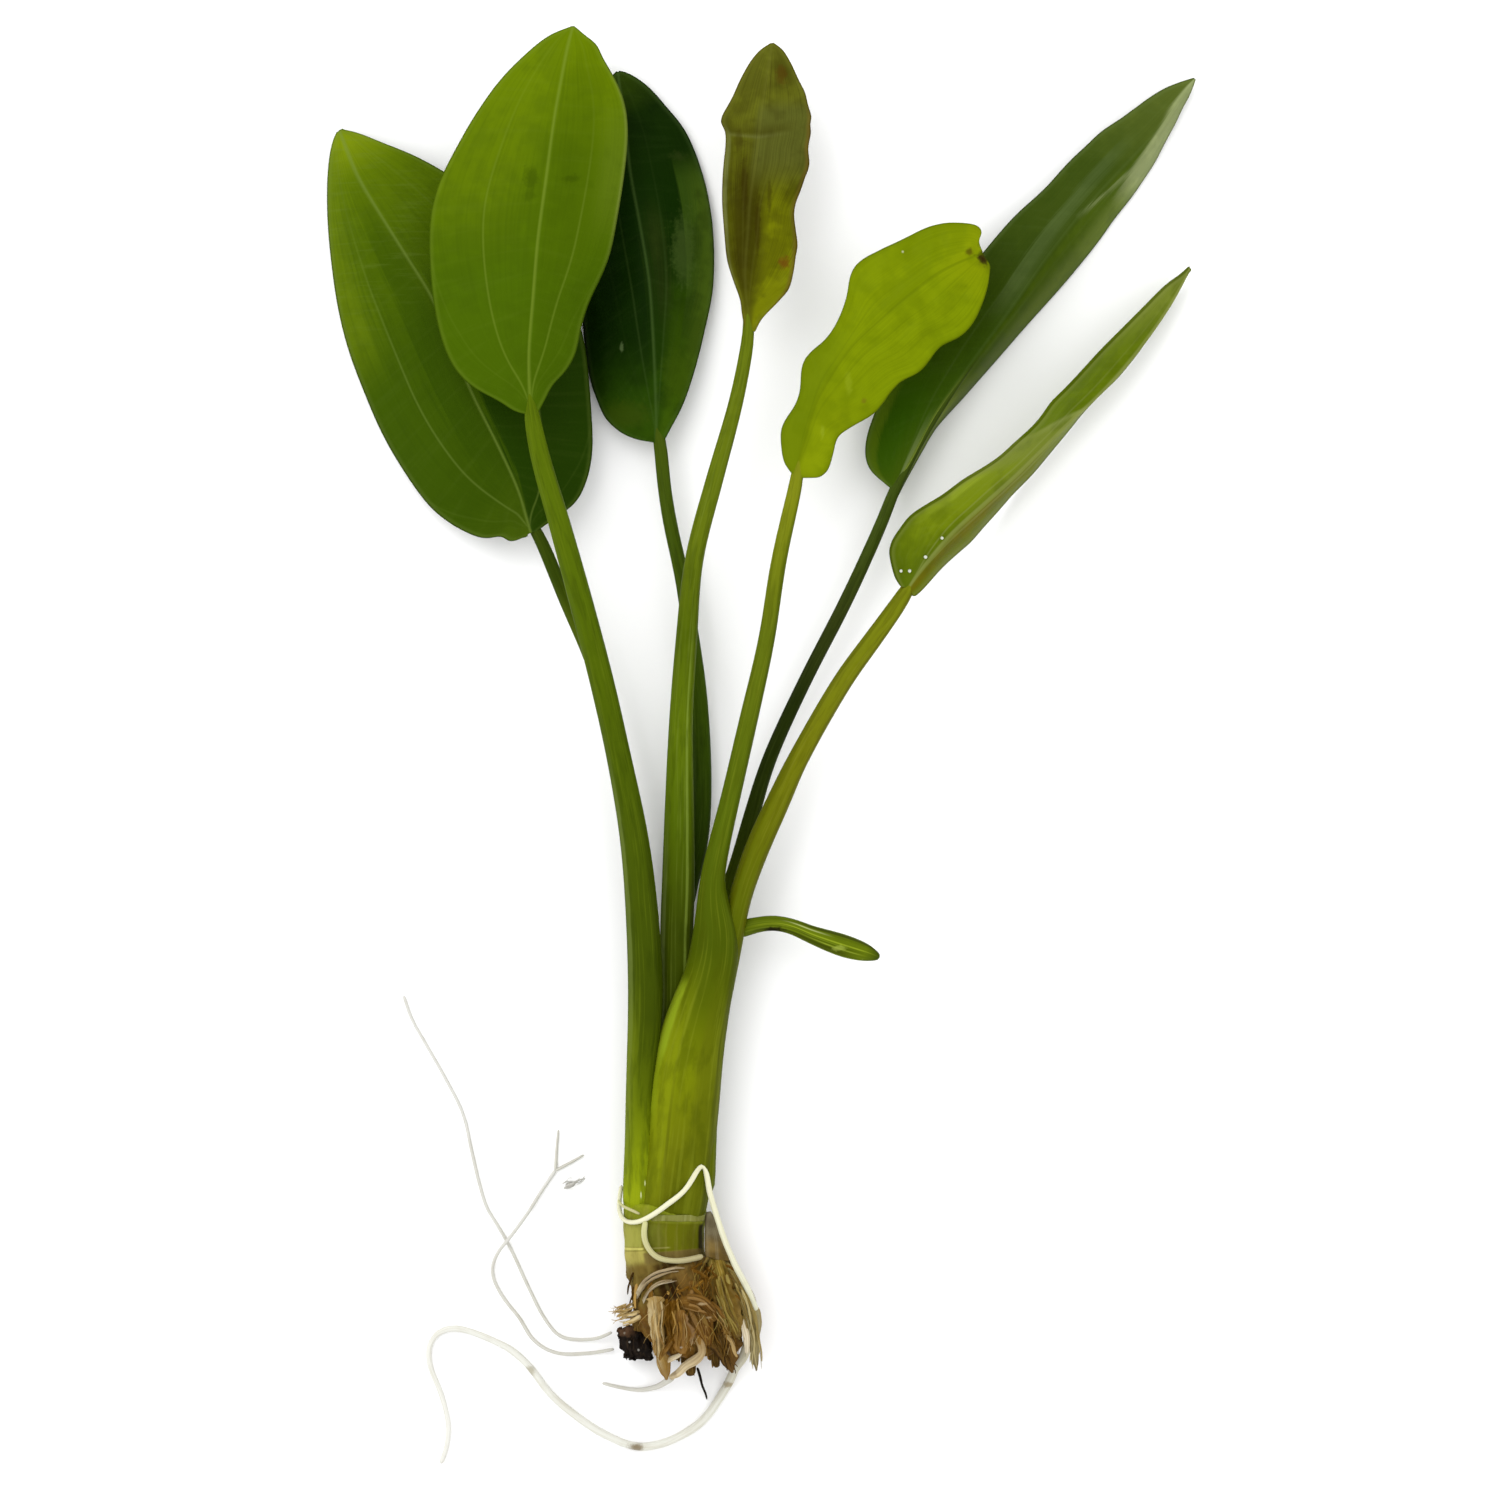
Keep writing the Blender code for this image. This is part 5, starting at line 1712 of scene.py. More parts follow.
YELLOW_BLADE = Blade("yellow_blade", (
    (6.9, 54.2, 19.1, 0.2, 0.2), (7.5, 57, 19.3, 0.4, 0.4), (8.7, 61, 19.7, 0.8, 0.8),
    (10.3, 66.6, 20.1, 1, 0.9), (11.7, 70, 20.3, 1.1, 1), (15.3, 76, 20.6, 1.4, 1.3),
    (18.7, 80.4, 20.8, 1.6, 1.5), (23.7, 85, 20.9, 1.9, 1.7), (28.7, 89.4, 21, 2.2, 1.8),
    (34.7, 94, 20.7, 2.4, 1.8), (39.7, 96.6, 20.2, 2, 1.5), (42.7, 97.8, 19.7, 1.4, 1),
    (44.3, 98.4, 19.3, 0.8, 0.5)), (
    (5.9, 54.4), (4.5, 56.6), (3.9, 60), (3.9, 63), (4.7, 65), (6.7, 68), (7.7, 71), (7.9, 75),
    (8.3, 76.6), (9.7, 78.6), (12.7, 81), (15.3, 85), (17.1, 90), (17.7, 94), (19.3, 96.6), (23.7, 99),
    (28.7, 101.4), (32.7, 103.4), (36.7, 104.4), (40.7, 104.4), (43.3, 103.8), (44.1, 102.6),
    (43.5, 100.8), (44.1, 99)), (
    (7.9, 53.4), (9.9, 53.4), (11.7, 53.6), (13.3, 55), (14.3, 58), (15.3, 61.6), (17.7, 63.4),
    (22.7, 66.4), (24.7, 69), (27.7, 72.6), (31.7, 74.6), (33.7, 77), (35.7, 79.6), (39.7, 81.6),
    (42.1, 84), (43.7, 87), (45.1, 91), (45.7, 94.6), (45.7, 96), (44.7, 97.6)), YELLOW_SKIN,
    Slot.BRIGHT_LEAF, ("yellow_leaf_blade",), crinkle=1, crinkle_size=4.2, rows=56)
YELLOW_STEM_SKIN = TubeFinish("yellow_petiole_skin", (
    (0, 0x62660a), (0.1, 0x707708), (0.2, 0x7d8906), (0.3, 0x5a6803), (0.38, 0x4c5c03), (0.55, 0x586b08),
    (0.8, 0x64730f), (0.98, 0x848c16)), 0x4a5400, 0x96a028, panels=(
    # the first stripe on this line is a painted highlight along the sheath's left edge
    stripe(-0.88, 0.2, 0.13, 0.3, 0x92a41a, 0.7, 0.03), stripe(-0.55, 0.3, 0.03, 0.3, 0x8e9a0e, 0.6),
    stripe(0.6, 0.4, 0, 0.3, 0x646c08, 0.7), stripe(0.93, 0.12, 0, 0.5, 0x464c06, 0.6),
    # the last stripe on this line paints that highlight again, narrower, on the sheath's left edge
    stripe(-0.3, 0.05, 0.06, 0.17, 0x5c6204, 0.7), stripe(-0.86, 0.13, 0.22, 0.32, 0x9cb224, 0.75, 0.015),
    stripe(0.85, 0.3, 0.4, 1, 0x485a04, 0.5)))
YELLOW = Leaf("yellow", (
    (-18.3, -95.8, 10.2, 6.5, 4.9), (-17.9, -90, 10.8, 7.2, 5.3), (-16.8, -81, 11, 7.25, 5.2),
    (-15.8, -71, 11.2, 7.25, 5), (-14.3, -61, 11.6, 6.65, 4.6), (-11.8, -51, 12.2, 5.6, 4.2),
    (-10.4, -46.6, 12.8, 5, 3.9), (-9.7, -43, 13.2, 4.8, 3.5), (-9.1, -39, 13.8, 4.7, 3),
    (-9.4, -35, 14.2, 3.9, 2.6), (-9.8, -31, 14.5, 3, 2.3), (-9.9, -27, 14.8, 2.4, 2.2),
    (-8.7, -21, 15, 2.15, 2.1), (-6.3, -11, 15.5, 1.9, 1.9), (-2.6, 5, 16.5, 1.8, 1.7),
    (1, 21, 17.5, 1.6, 1.5), (3.5, 37, 18.2, 1.5, 1.4), (7, 52.8, 18.5, 1.3, 0.9)), YELLOW_BLADE,
    YELLOW_STEM_SKIN)

RIGHT_SKIN = LeafFinish("right_skin",
    ((0, 0x4a640a), (0.15, 0x3a5804), (0.5, 0x394c0d), (0.75, 0x425414), (0.97, 0x62702a)), 0x263c02,
    0x70844a, 0x38461c, panels=(
    Panel(0.1, 1.2, -0.1, 1.2, 0x546a12, 0.75, (0.15, 0.1, 0.1, 0.1)),
    # painted sheen: the next four panels lay a greyish sheen on the steep right half, a light area at the
    # tip, a thin light line and a grey-green band left of the midrib
    Panel(0.6, 1.3, 0.02, 1.2, 0x788a38, 0.8, (0.25, 0.1, 0.08, 0.1)),
    Panel(0.45, 2.8, 0.74, 1.2, 0xaeb97e, 0.92, (0.1, 0.1, 0.05, 0.1), drift=-3, streaks=0.4),
    Panel(0, 0.12, 0.66, 0.84, 0x96a26c, 0.5, (0.03, 0.1, 0.03, 0.03), drift=2.3, streaks=0.3),
    Panel(-0.28, 0, 0.42, 0.8, 0x546632, 0.7, (0.03, 0.12, 0.06, 0.06), drift=-0.6),
    Panel(-0.8, -0.3, 0.03, 0.22, 0x305800, 0.6, (0.1, 0.2, 0.05, 0.08)),
    stripe(0, 0.05, -0.05, 0.12, 0x88985c, 0.6, drift=-0.3),
    Panel(0.03, 0.74, -0.1, 0.22, 0xa0b244, 0.85, (0.08, 0.15, 0.05, 0.08)),
    stripe(-0.9, 0.15, -0.05, 0.22, 0x5c7410, 0.7)), mottle=0.2, vein_cover=0.1, side_cover=0.1,
    shine=0.012, roughness=0.45)
RIGHT_BLADE = Blade("right_blade", (
    (26.5, 51.4, 7.9, 0.3, 0.3), (27.9, 53.8, 8.1, 1, 1.2), (30.3, 58, 8.5, 2, 3.4),
    (34.9, 66.4, 9.2, 3.5, 6.4), (42.1, 76.6, 10, 4.5, 9.4), (50.1, 87.6, 10.3, 4.5, 10.4),
    (56.9, 97.4, 10, 4.5, 10.2), (64.9, 107.6, 9.2, 4, 9.2), (72.1, 115.4, 8, 3.5, 7.6),
    (78.5, 122.2, 6.5, 2.5, 5.6), (83.3, 128.6, 4.5, 1.5, 2.5), (86.7, 133.2, 2.5, 0, 0)), (
    (25.7, 51.4), (21.7, 55), (20.7, 58), (20.9, 61), (21.7, 64), (22.7, 66.6), (25.1, 72.6), (31.9, 83.4),
    (39.7, 92.6), (44.7, 99), (47.7, 102.6), (51.7, 107), (54.7, 109.4), (57.7, 112.4), (61.7, 117),
    (64.7, 119.6), (67.7, 122.6), (71.7, 125.2), (74.7, 127.4), (77.7, 129.6), (80.7, 131.4),
    (83.7, 132.6), (86.5, 133.5)), (
    (27.3, 49.6), (28.7, 52.4), (30.7, 56), (32.7, 59.6), (34.7, 63), (36.7, 65.4), (39.7, 68.6),
    (42.7, 72), (45.7, 75.4), (49.7, 80), (53.7, 84.6), (57.7, 89), (60.7, 92.4), (63.7, 96), (67.7, 101),
    (70.7, 105.4), (73.7, 109), (76.7, 113.4), (78.7, 116.4), (80.7, 120.4), (82.7, 124), (84.1, 127),
    (85.7, 130), (86.9, 133.1)), RIGHT_SKIN, Slot.DEEP_LEAF, ("right_leaf_blade",))
RIGHT_STEM_SKIN = TubeFinish("right_petiole_skin",
    ((0.35, 0x4a5a03), (0.5, 0x2e3c05), (0.68, 0x263208), (0.8, 0x384212), (0.94, 0x485a18)), 0x1a2400,
    0x566428)
RIGHT = Leaf("right", (
    (-11.8, -90, 5.2, 2.2, 2), (-11.6, -71, 5.2, 2.2, 2), (-10.2, -51, 5.4, 2.1, 1.9),
    (-8.8, -41, 5.6, 2, 1.8), (-6.8, -31, 5.8, 1.9, 1.7), (-4.3, -23, 6.1, 1.8, 1.6),
    (-2.2, -15, 6.3, 1.6, 1.5), (1.5, -3, 6.6, 1.4, 1.4), (8.8, 13, 7, 1.3, 1.3), (17, 29, 7.3, 1.3, 1.2),
    (24.3, 45, 7.3, 1.2, 1), (26.4, 50.6, 7.3, 1.1, 0.9)), RIGHT_BLADE, RIGHT_STEM_SKIN)

SLIM_SKIN = LeafFinish("slim_skin",
    ((0, 0x5c700a), (0.2, 0x6e820c), (0.42, 0x808e2e), (0.6, 0x667c08), (0.97, 0x829030)), 0x425400,
    0x9ca45a, 0x425008, panels=(
    Panel(-0.85, -0.2, 0.12, 0.42, 0x8a9e10, 0.7, (0.12, 0.15, 0.08, 0.1)),
    stripe(-0.84, 0.14, 0.2, 0.38, 0xa8bc30, 0.6),
    Panel(0.04, 1.3, -0.1, 0.46, 0x707a0c, 0.9, (0.06, 0.15, 0.1, 0.08)),
    Panel(0.1, 0.5, -0.1, 0.34, 0x70640a, 0.7, (0.06, 0.15, 0.1, 0.1), streaks=0.6),
    Panel(-1.2, 1.2, 0.45, 0.585, 0x869436, 0.6, (0.1, 0.1, 0.03, 0.01), skew=0.11),
    Panel(-1.2, 1.2, 0.585, 0.86, 0x6a8006, 0.85, (0.1, 0.1, 0.012, 0.1), skew=0.11),
    Panel(-0.6, 1.2, 0.562, 0.585, 0xa0ac5c, 0.6, (0.3, 0.1, 0.025, 0.012), skew=0.11, streaks=0.5)),
    mottle=0.3)
SLIM_BLADE = Blade("slim_blade", (
    (29.3, 31.4, 15, -0.3, 0.4), (31.1, 34.2, 14.8, -2, 2.6), (33.9, 37.8, 14.4, -4, 6),
    (38.1, 42.6, 13.6, -6, 8.8), (44.1, 48.2, 12.5, -8, 10.4), (50.5, 54, 11.4, -9, 10.8),
    (56.1, 59.6, 10.4, -9.5, 10.2), (61.3, 64.8, 9.6, -9.5, 9.5), (66.9, 69.8, 8.8, -9, 8.7),
    (72.5, 75.8, 7.8, -8, 7.6), (77.7, 82.4, 6.6, -6.5, 6.3), (82.1, 89, 5, -4, 4.2),
    (85.5, 95.4, 3, 0, 0)), (
    (27.7, 31.8), (26.7, 33.4), (25.7, 37), (25.5, 39), (26.1, 41), (27.7, 43.4), (29.7, 46), (32.7, 48),
    (36.7, 50.4), (39.7, 52.8), (43.7, 55.2), (47.7, 57.8), (49.7, 59.8), (52.7, 62.4), (55.7, 65.4),
    (57.7, 68.6), (59.7, 70.4), (63.7, 74.6), (67.7, 79), (71.7, 83), (75.7, 87), (80.7, 92), (83.7, 94.2),
    (85.3, 95.7)), (
    (30.3, 29.6), (31.7, 31), (35.7, 35.6), (38.7, 38.4), (41.7, 41), (43.7, 43.4), (45.7, 45.6),
    (47.7, 47.8), (49.7, 50.2), (53.7, 54.2), (57.7, 59), (59.7, 61.4), (61.7, 63.8), (63.7, 66.4),
    (67.7, 70.6), (70.7, 73.4), (73.7, 77), (75.7, 79.6), (77.7, 83), (79.7, 86.4), (81.7, 89.6),
    (83.7, 93), (85.8, 95.4)), SLIM_SKIN, Slot.BRIGHT_LEAF, ("slim_leaf_blade",), crinkle=0.2, rows=50)
SLIM_STEM_SKIN = TubeFinish("slim_petiole_skin",
    ((0.35, 0x5a6704), (0.52, 0x6e7507), (0.62, 0x787d0d), (0.85, 0x7c8510)), 0x545602, 0x969632,
    panels=(stripe(-0.8, 0.25, 0.3, 1, 0x606408, 0.5), stripe(0.85, 0.2, 0.3, 1, 0x5c5c0e, 0.5)))
SLIM = Leaf("slim", (
    (-11.9, -90, 10.6, 2.5, 2.7), (-11.2, -71, 10.8, 2.5, 2.7), (-10.4, -61, 11, 2.5, 2.7),
    (-8.6, -51, 11.4, 2.5, 2.6), (-6.5, -41, 12.4, 2.4, 2.3), (-4.4, -31, 13, 2.2, 2.2),
    (-1, -21, 12.7, 2.4, 2.3), (3.5, -11, 13.3, 2.3, 2.1), (7.2, -3, 13.8, 2, 1.9),
    (16.4, 13, 14.6, 1.9, 1.7), (22.2, 21, 14.9, 1.8, 1.6), (27.9, 29, 14.8, 1.6, 1.4),
    (29.4, 31.6, 14.3, 1.3, 1.1)), SLIM_BLADE, SLIM_STEM_SKIN)

YOUNG_LEAF = Tube("young_leaf", (
    (-5.2, -37, 11.4, 1.7, 1.3), (-3.7, -36.7, 11.5, 1.8, 1.4), (-1.1, -36, 11.7, 1.6, 1.4),
    (2.5, -35.6, 12, 1.55, 1.3), (6.1, -36.3, 12, 1.6, 1.3), (9.7, -37.8, 11.4, 1.8, 1.5),
    (13.3, -39.1, 10.6, 2.15, 1.65), (16.9, -40.3, 9.8, 2.3, 1.7), (20.5, -41.4, 8.8, 1.9, 1.4),
    (22.6, -42.1, 8.2, 1.2, 1), (23.7, -42.5, 7.8, 0.6, 0.5)), sides=16, spacing=1.6,
    ridges={10: 1.08, 11: 0.9, 12: 1.06, 14: 0.95})

YOUNG_SKIN = TubeFinish("young_leaf_skin",
    ((0, 0x586806), (0.5, 0x687a08), (0.9, 0x687a0c), (1, 0x425208)), 0x3c4a02, 0x9cae3c, length=30,
    panels=(
        # the second stripe on this line is a painted highlight, a thin glint line along the rolled leaf
        stripe(-0.8, 0.16, 0.42, 1.1, 0x3a420a, 0.85), stripe(-0.5, 0.07, 0.36, 0.6, 0xc4ce82, 0.8),
        stripe(0.7, 0.25, 0.1, 0.8, 0x3a4204, 0.75), stripe(-0.1, 0.08, 0.3, 0.95, 0x9eb028, 0.75),
        stripe(0.2, 0.05, 0.4, 0.85, 0x465404, 0.7), stripe(0.38, 0.06, 0.5, 0.85, 0xa4b43c, 0.7),
        stripe(0.05, 0.15, 0.1, 0.35, 0x889818, 0.6)), patches=(
    Patch((2.4, -37, 11.6), 1.7, 0x222006, 1, (1.5, 0.6)),
    Patch((15.4, -40.6, 11.4), 1.5, 0xb4c450, 0.5, (1.4, 0.5))))

DRY_SHEATH = Blade("dry_sheath_scale", (
    (-8.9, -103, 12.9, -0.3, 1.8), (-9.2, -99, 12.1, -0.4, 1.9), (-10.1, -95.8, 11, -0.2, 1.2),
    (-10.8, -93.4, 10.3, 0, 0.4)), ((-11.3, -102.2), (-11.4, -98.4), (-11.3, -95.2), (-11.1, -93.4)),
    ((-5.8, -103.4), (-7.2, -99.8), (-8.5, -96.6), (-10.3, -93.4)),
    LeafFinish("dry_sheath_skin", ((0, 0x967a3e), (0.3, 0xa0864c), (0.5, 0x8a7e5e), (1, 0x948c6c)),
        0x48381a, 0xaaa080, 0x54482e, lines=0.6, mottle=0.6, vein_cover=0.1, side_cover=0.3, opacity=0.9),
    Slot.DRY_SHEATH, ("dry_sheath",), thickness=0.3, rows=14, crinkle=0.3, crinkle_size=3, groove=0.05)

# The roots: their skins, then the roots, the root ends and what lies over them.
IVORY_SKIN = root_skin("ivory_root_skin", 0xf0f0d6, 0xfdfbd8, 0xd6cea0, 0xfffeec, 30, (0.3, 0.3), 0.5,
    0.05)
LOOP_SKIN = root_skin("loop_root_skin", 0xdede9e, 0xc0b488, 0xaaa064, 0xf0f0c4, 14, (0.3, 0.3), 0.5, 0.05)
LONG_SKIN = TubeFinish("long_root_skin",
    ((0, 0xe2d8b4), (0.05, 0xd4d0ba), (0.14, 0xf6f6ea), (0.9, 0xfefef6)), 0xc4ba9c, 0xfcfaf0, 0.3, 0.3,
    length=118, roughness=0.55, rib_depth=0.08, patches=(
    Patch((-6.5, -127.8, 0.9), 1.3, 0x968254, 0.7, (1.3, 0.7)),
    Patch((-25.1, -140.4, 0.5), 1.6, 0x786032, 0.8, (1.4, 0.8)),
    Patch((-46.1, -125, 0.5), 1.4, 0xbeb8a0, 0.8)))

GREY_SKIN = root_skin("grey_root_skin", 0xe2e0d4, 0xeeede6, 0xc4beac, 0xfaf9f4, 60, (0.3, 0.3), 0.55, 0.08)
SAND_SKIN = root_skin("sand_root_skin", 0xd8ba78, 0xcca456, 0x8c6022, 0xfceab8)
TAN_SKIN = root_skin("tan_root_skin", 0xa87a2c, 0xbc924a, 0x5c3808, 0xecce90)
GOLD_SKIN = root_skin("gold_root_skin", 0x8a5e0e, 0xa4782e, 0x4c2c00, 0xe0b868)
BROWN_SKIN = root_skin("brown_root_skin", 0x62420e, 0x644e22, 0x221200, 0xaa8646)
OLIVE_SKIN = root_skin("olive_root_skin", 0x987e32, 0x987e2e, 0x402e02, 0xd2be6c)
STRAW_SKIN = root_skin("straw_root_skin", 0xbea65a, 0xbeaa6e, 0x6e541a, 0xf0e4b0)
CREAM_SKIN = root_skin("cream_root_skin", 0xf2deb0, 0xfef4da, 0xb89a68, 0xfcf6e4)
KNOB_SKIN = root_skin("knob_skin", 0x886228, 0x78521c, 0x4e2e08, 0xb28c54, rib_depth=0.7, patches=(
    # painted highlights: two light spots on the knob
    Patch((-11.9, -111.8, 19.6), 0.8, 0xdec494, 0.6, (1.6, 0.5)),
    Patch((-10.7, -114.6, 18.8), 0.7, 0xd8be8e, 0.6, (1.4, 0.5))))

CROSS_SKIN = root_skin("cross_root_skin", 0x946c18, 0xf6e2b8, 0x6c4c14, 0xecd69c, 13, (0.35, 0.2))
ROT_SKIN = root_skin("dark_rot_skin", 0x241e1a, 0x1c1714, 0x060504, 0x5c4a38, 20, (0.6, 0.3), 0.6, 0.5,
    patches=(
        Patch((-27.2, -117, 6), 2.2, 0x684c36, 0.85, (1.3, 0.8)),
        # painted highlights: the three small pale patches are glints on the clump
        Patch((-26.4, -119.4, 7.2), 0.3, 0xc8c6be, 0.8), Patch((-24.6, -121, 6.6), 0.35, 0xb4b0a6, 0.9),
        Patch((-27.4, -117.6, 6), 0.35, 0x968c7c, 0.9)))

FLUFF_SKIN = root_skin("root_fluff_skin", 0xeae9e4, 0xf4f4f0, 0xccc8be, 0xfcfcfa, 6, (0.3, 0.3), 0.9, 0.2)
PAPER_SKIN = root_skin("papery_skin", 0xd8caa4, 0xbca67c, 0x74582e, 0xf4e8cc, 8)
GREEN_RING_SKIN = root_skin("green_ring_skin", 0x8c8e48, 0x828038, 0x585818, 0xb0b270, 3, (0.4, 0.5), 0.55,
    0.2)
STRANDS = (
    Strand("long_root", Slot.WHITE_ROOT, LONG_SKIN, 1, 0.45, (
        (-2.6, -118.6, 6), (-3.5, -122.2, 4.2), (-5.3, -124.6, 2.6), (-6.6, -127.6, 1.2), (-8.7, -131, 0),
        (-12, -135.4, 0), (-18, -139, 0), (-24, -140.4, 0), (-30, -138.6, 0), (-36, -135, 0),
        (-42, -130, 0), (-46, -124.8, 0), (-49.4, -121.4, 0), (-53, -119.4, 0), (-58, -117.4, 0),
        (-62, -116.6, 0), (-65.2, -118, 0), (-66.6, -121.2, 0), (-66, -125, 0), (-64, -130, 0),
        (-62.6, -136, 0), (-63, -140.6, 0), (-64.2, -143.8, 0))),
    Strand("upper_side_root", Slot.WHITE_ROOT, GREY_SKIN, 0.36, 0.3, (
        (-29.8, -117.4, 2.2), (-33.4, -118.8, 0.9), (-40, -118.4, 0), (-43.4, -114.6, 0), (-47, -107.6, 0),
        (-50, -101, 0), (-52.8, -96, 0), (-55, -92.4, 0), (-56.6, -87, 0), (-58, -81, 0), (-59.6, -74, 0),
        (-63, -67, 0), (-67, -60, 0), (-70, -54.6, 0), (-71.6, -50, 0))),
    Strand("lower_side_root", Slot.WHITE_ROOT, GREY_SKIN, 0.36, 0.36, (
        (-29.4, -120.8, 1.2), (-34, -121.6, 0.5), (-41, -121.6, 0), (-45.6, -119, 0), (-48.4, -114.6, 0),
        (-51, -111.4, 0), (-53, -108.2, 0), (-53.9, -105, 0.6), (-52.8, -101.6, 1.2), (-50.4, -98.6, 1.85),
        (-47, -94, 1.2), (-44, -89.2, 0), (-41, -84.8, 0))),
    Strand("side_root_upright_twig", Slot.WHITE_ROOT, GREY_SKIN, 0.34, 0.22,
        ((-41.2, -85.2, 0), (-41, -81, 0), (-40.6, -76.8, 0))),
    Strand("side_root_end_twig", Slot.WHITE_ROOT, GREY_SKIN, 0.34, 0.22,
        ((-41.4, -85.2, 0), (-38, -83.4, 0), (-35.4, -81.9, 0))),
    Strand("short_floor_root", Slot.WHITE_ROOT, GREY_SKIN, 0.8, 0.3, (
        (-17.6, -126.2, 4.6), (-19.4, -127.6, 2.6), (-21.4, -128.5, 0.9), (-25, -129, 0),
        (-32, -127.6, 0))),
    Strand("wrapping_root", Slot.WHITE_ROOT, IVORY_SKIN, 0.66, 0.45, (
        (-1, -113.2, 13.4), (-2.9, -108.5, 14.4), (-5.3, -104, 15), (-7.4, -98.9, 14.4), (-9, -94.2, 14.1),
        (-10.4, -89.2, 14.2), (-11, -85.6, 14.4), (-11.8, -83.9, 14.7), (-12.9, -85.2, 15.1),
        (-15.1, -88.8, 16), (-18.7, -91.8, 16.8), (-21.8, -94, 16.4), (-24.4, -95.3, 15.2),
        (-26.8, -95.4, 13), (-28.1, -94.2, 10.2), (-28.5, -91.8, 8), (-28, -88, 6))),
    Strand("wrapping_root_turn", Slot.WHITE_ROOT, LOOP_SKIN, 0.32, 0.3,
        ((-28.6, -91, 9), (-27.8, -92.2, 12.4), (-26, -93, 14.4), (-24.2, -93.9, 15)), in_frame=False),
    Strand("looping_root", Slot.WHITE_ROOT, LOOP_SKIN, 0.6, 0.6, (
        (-23.2, -95, 15.9), (-23.5, -98.4, 15.7), (-22.6, -100.8, 16), (-21, -102.4, 16.3),
        (-19, -103.1, 16.4), (-15.4, -103.1, 16), (-11.6, -102.2, 13.9))),
    Strand("dark_fibre", Slot.SOIL, ROT_SKIN, 0.3, 0.2, (
        (-12.9, -124.4, 4.8), (-12.2, -126.4, 3.4), (-11.9, -128.2, 2.2), (-11.2, -129.4, 1.4),
        (-10.9, -131, 0.5))))

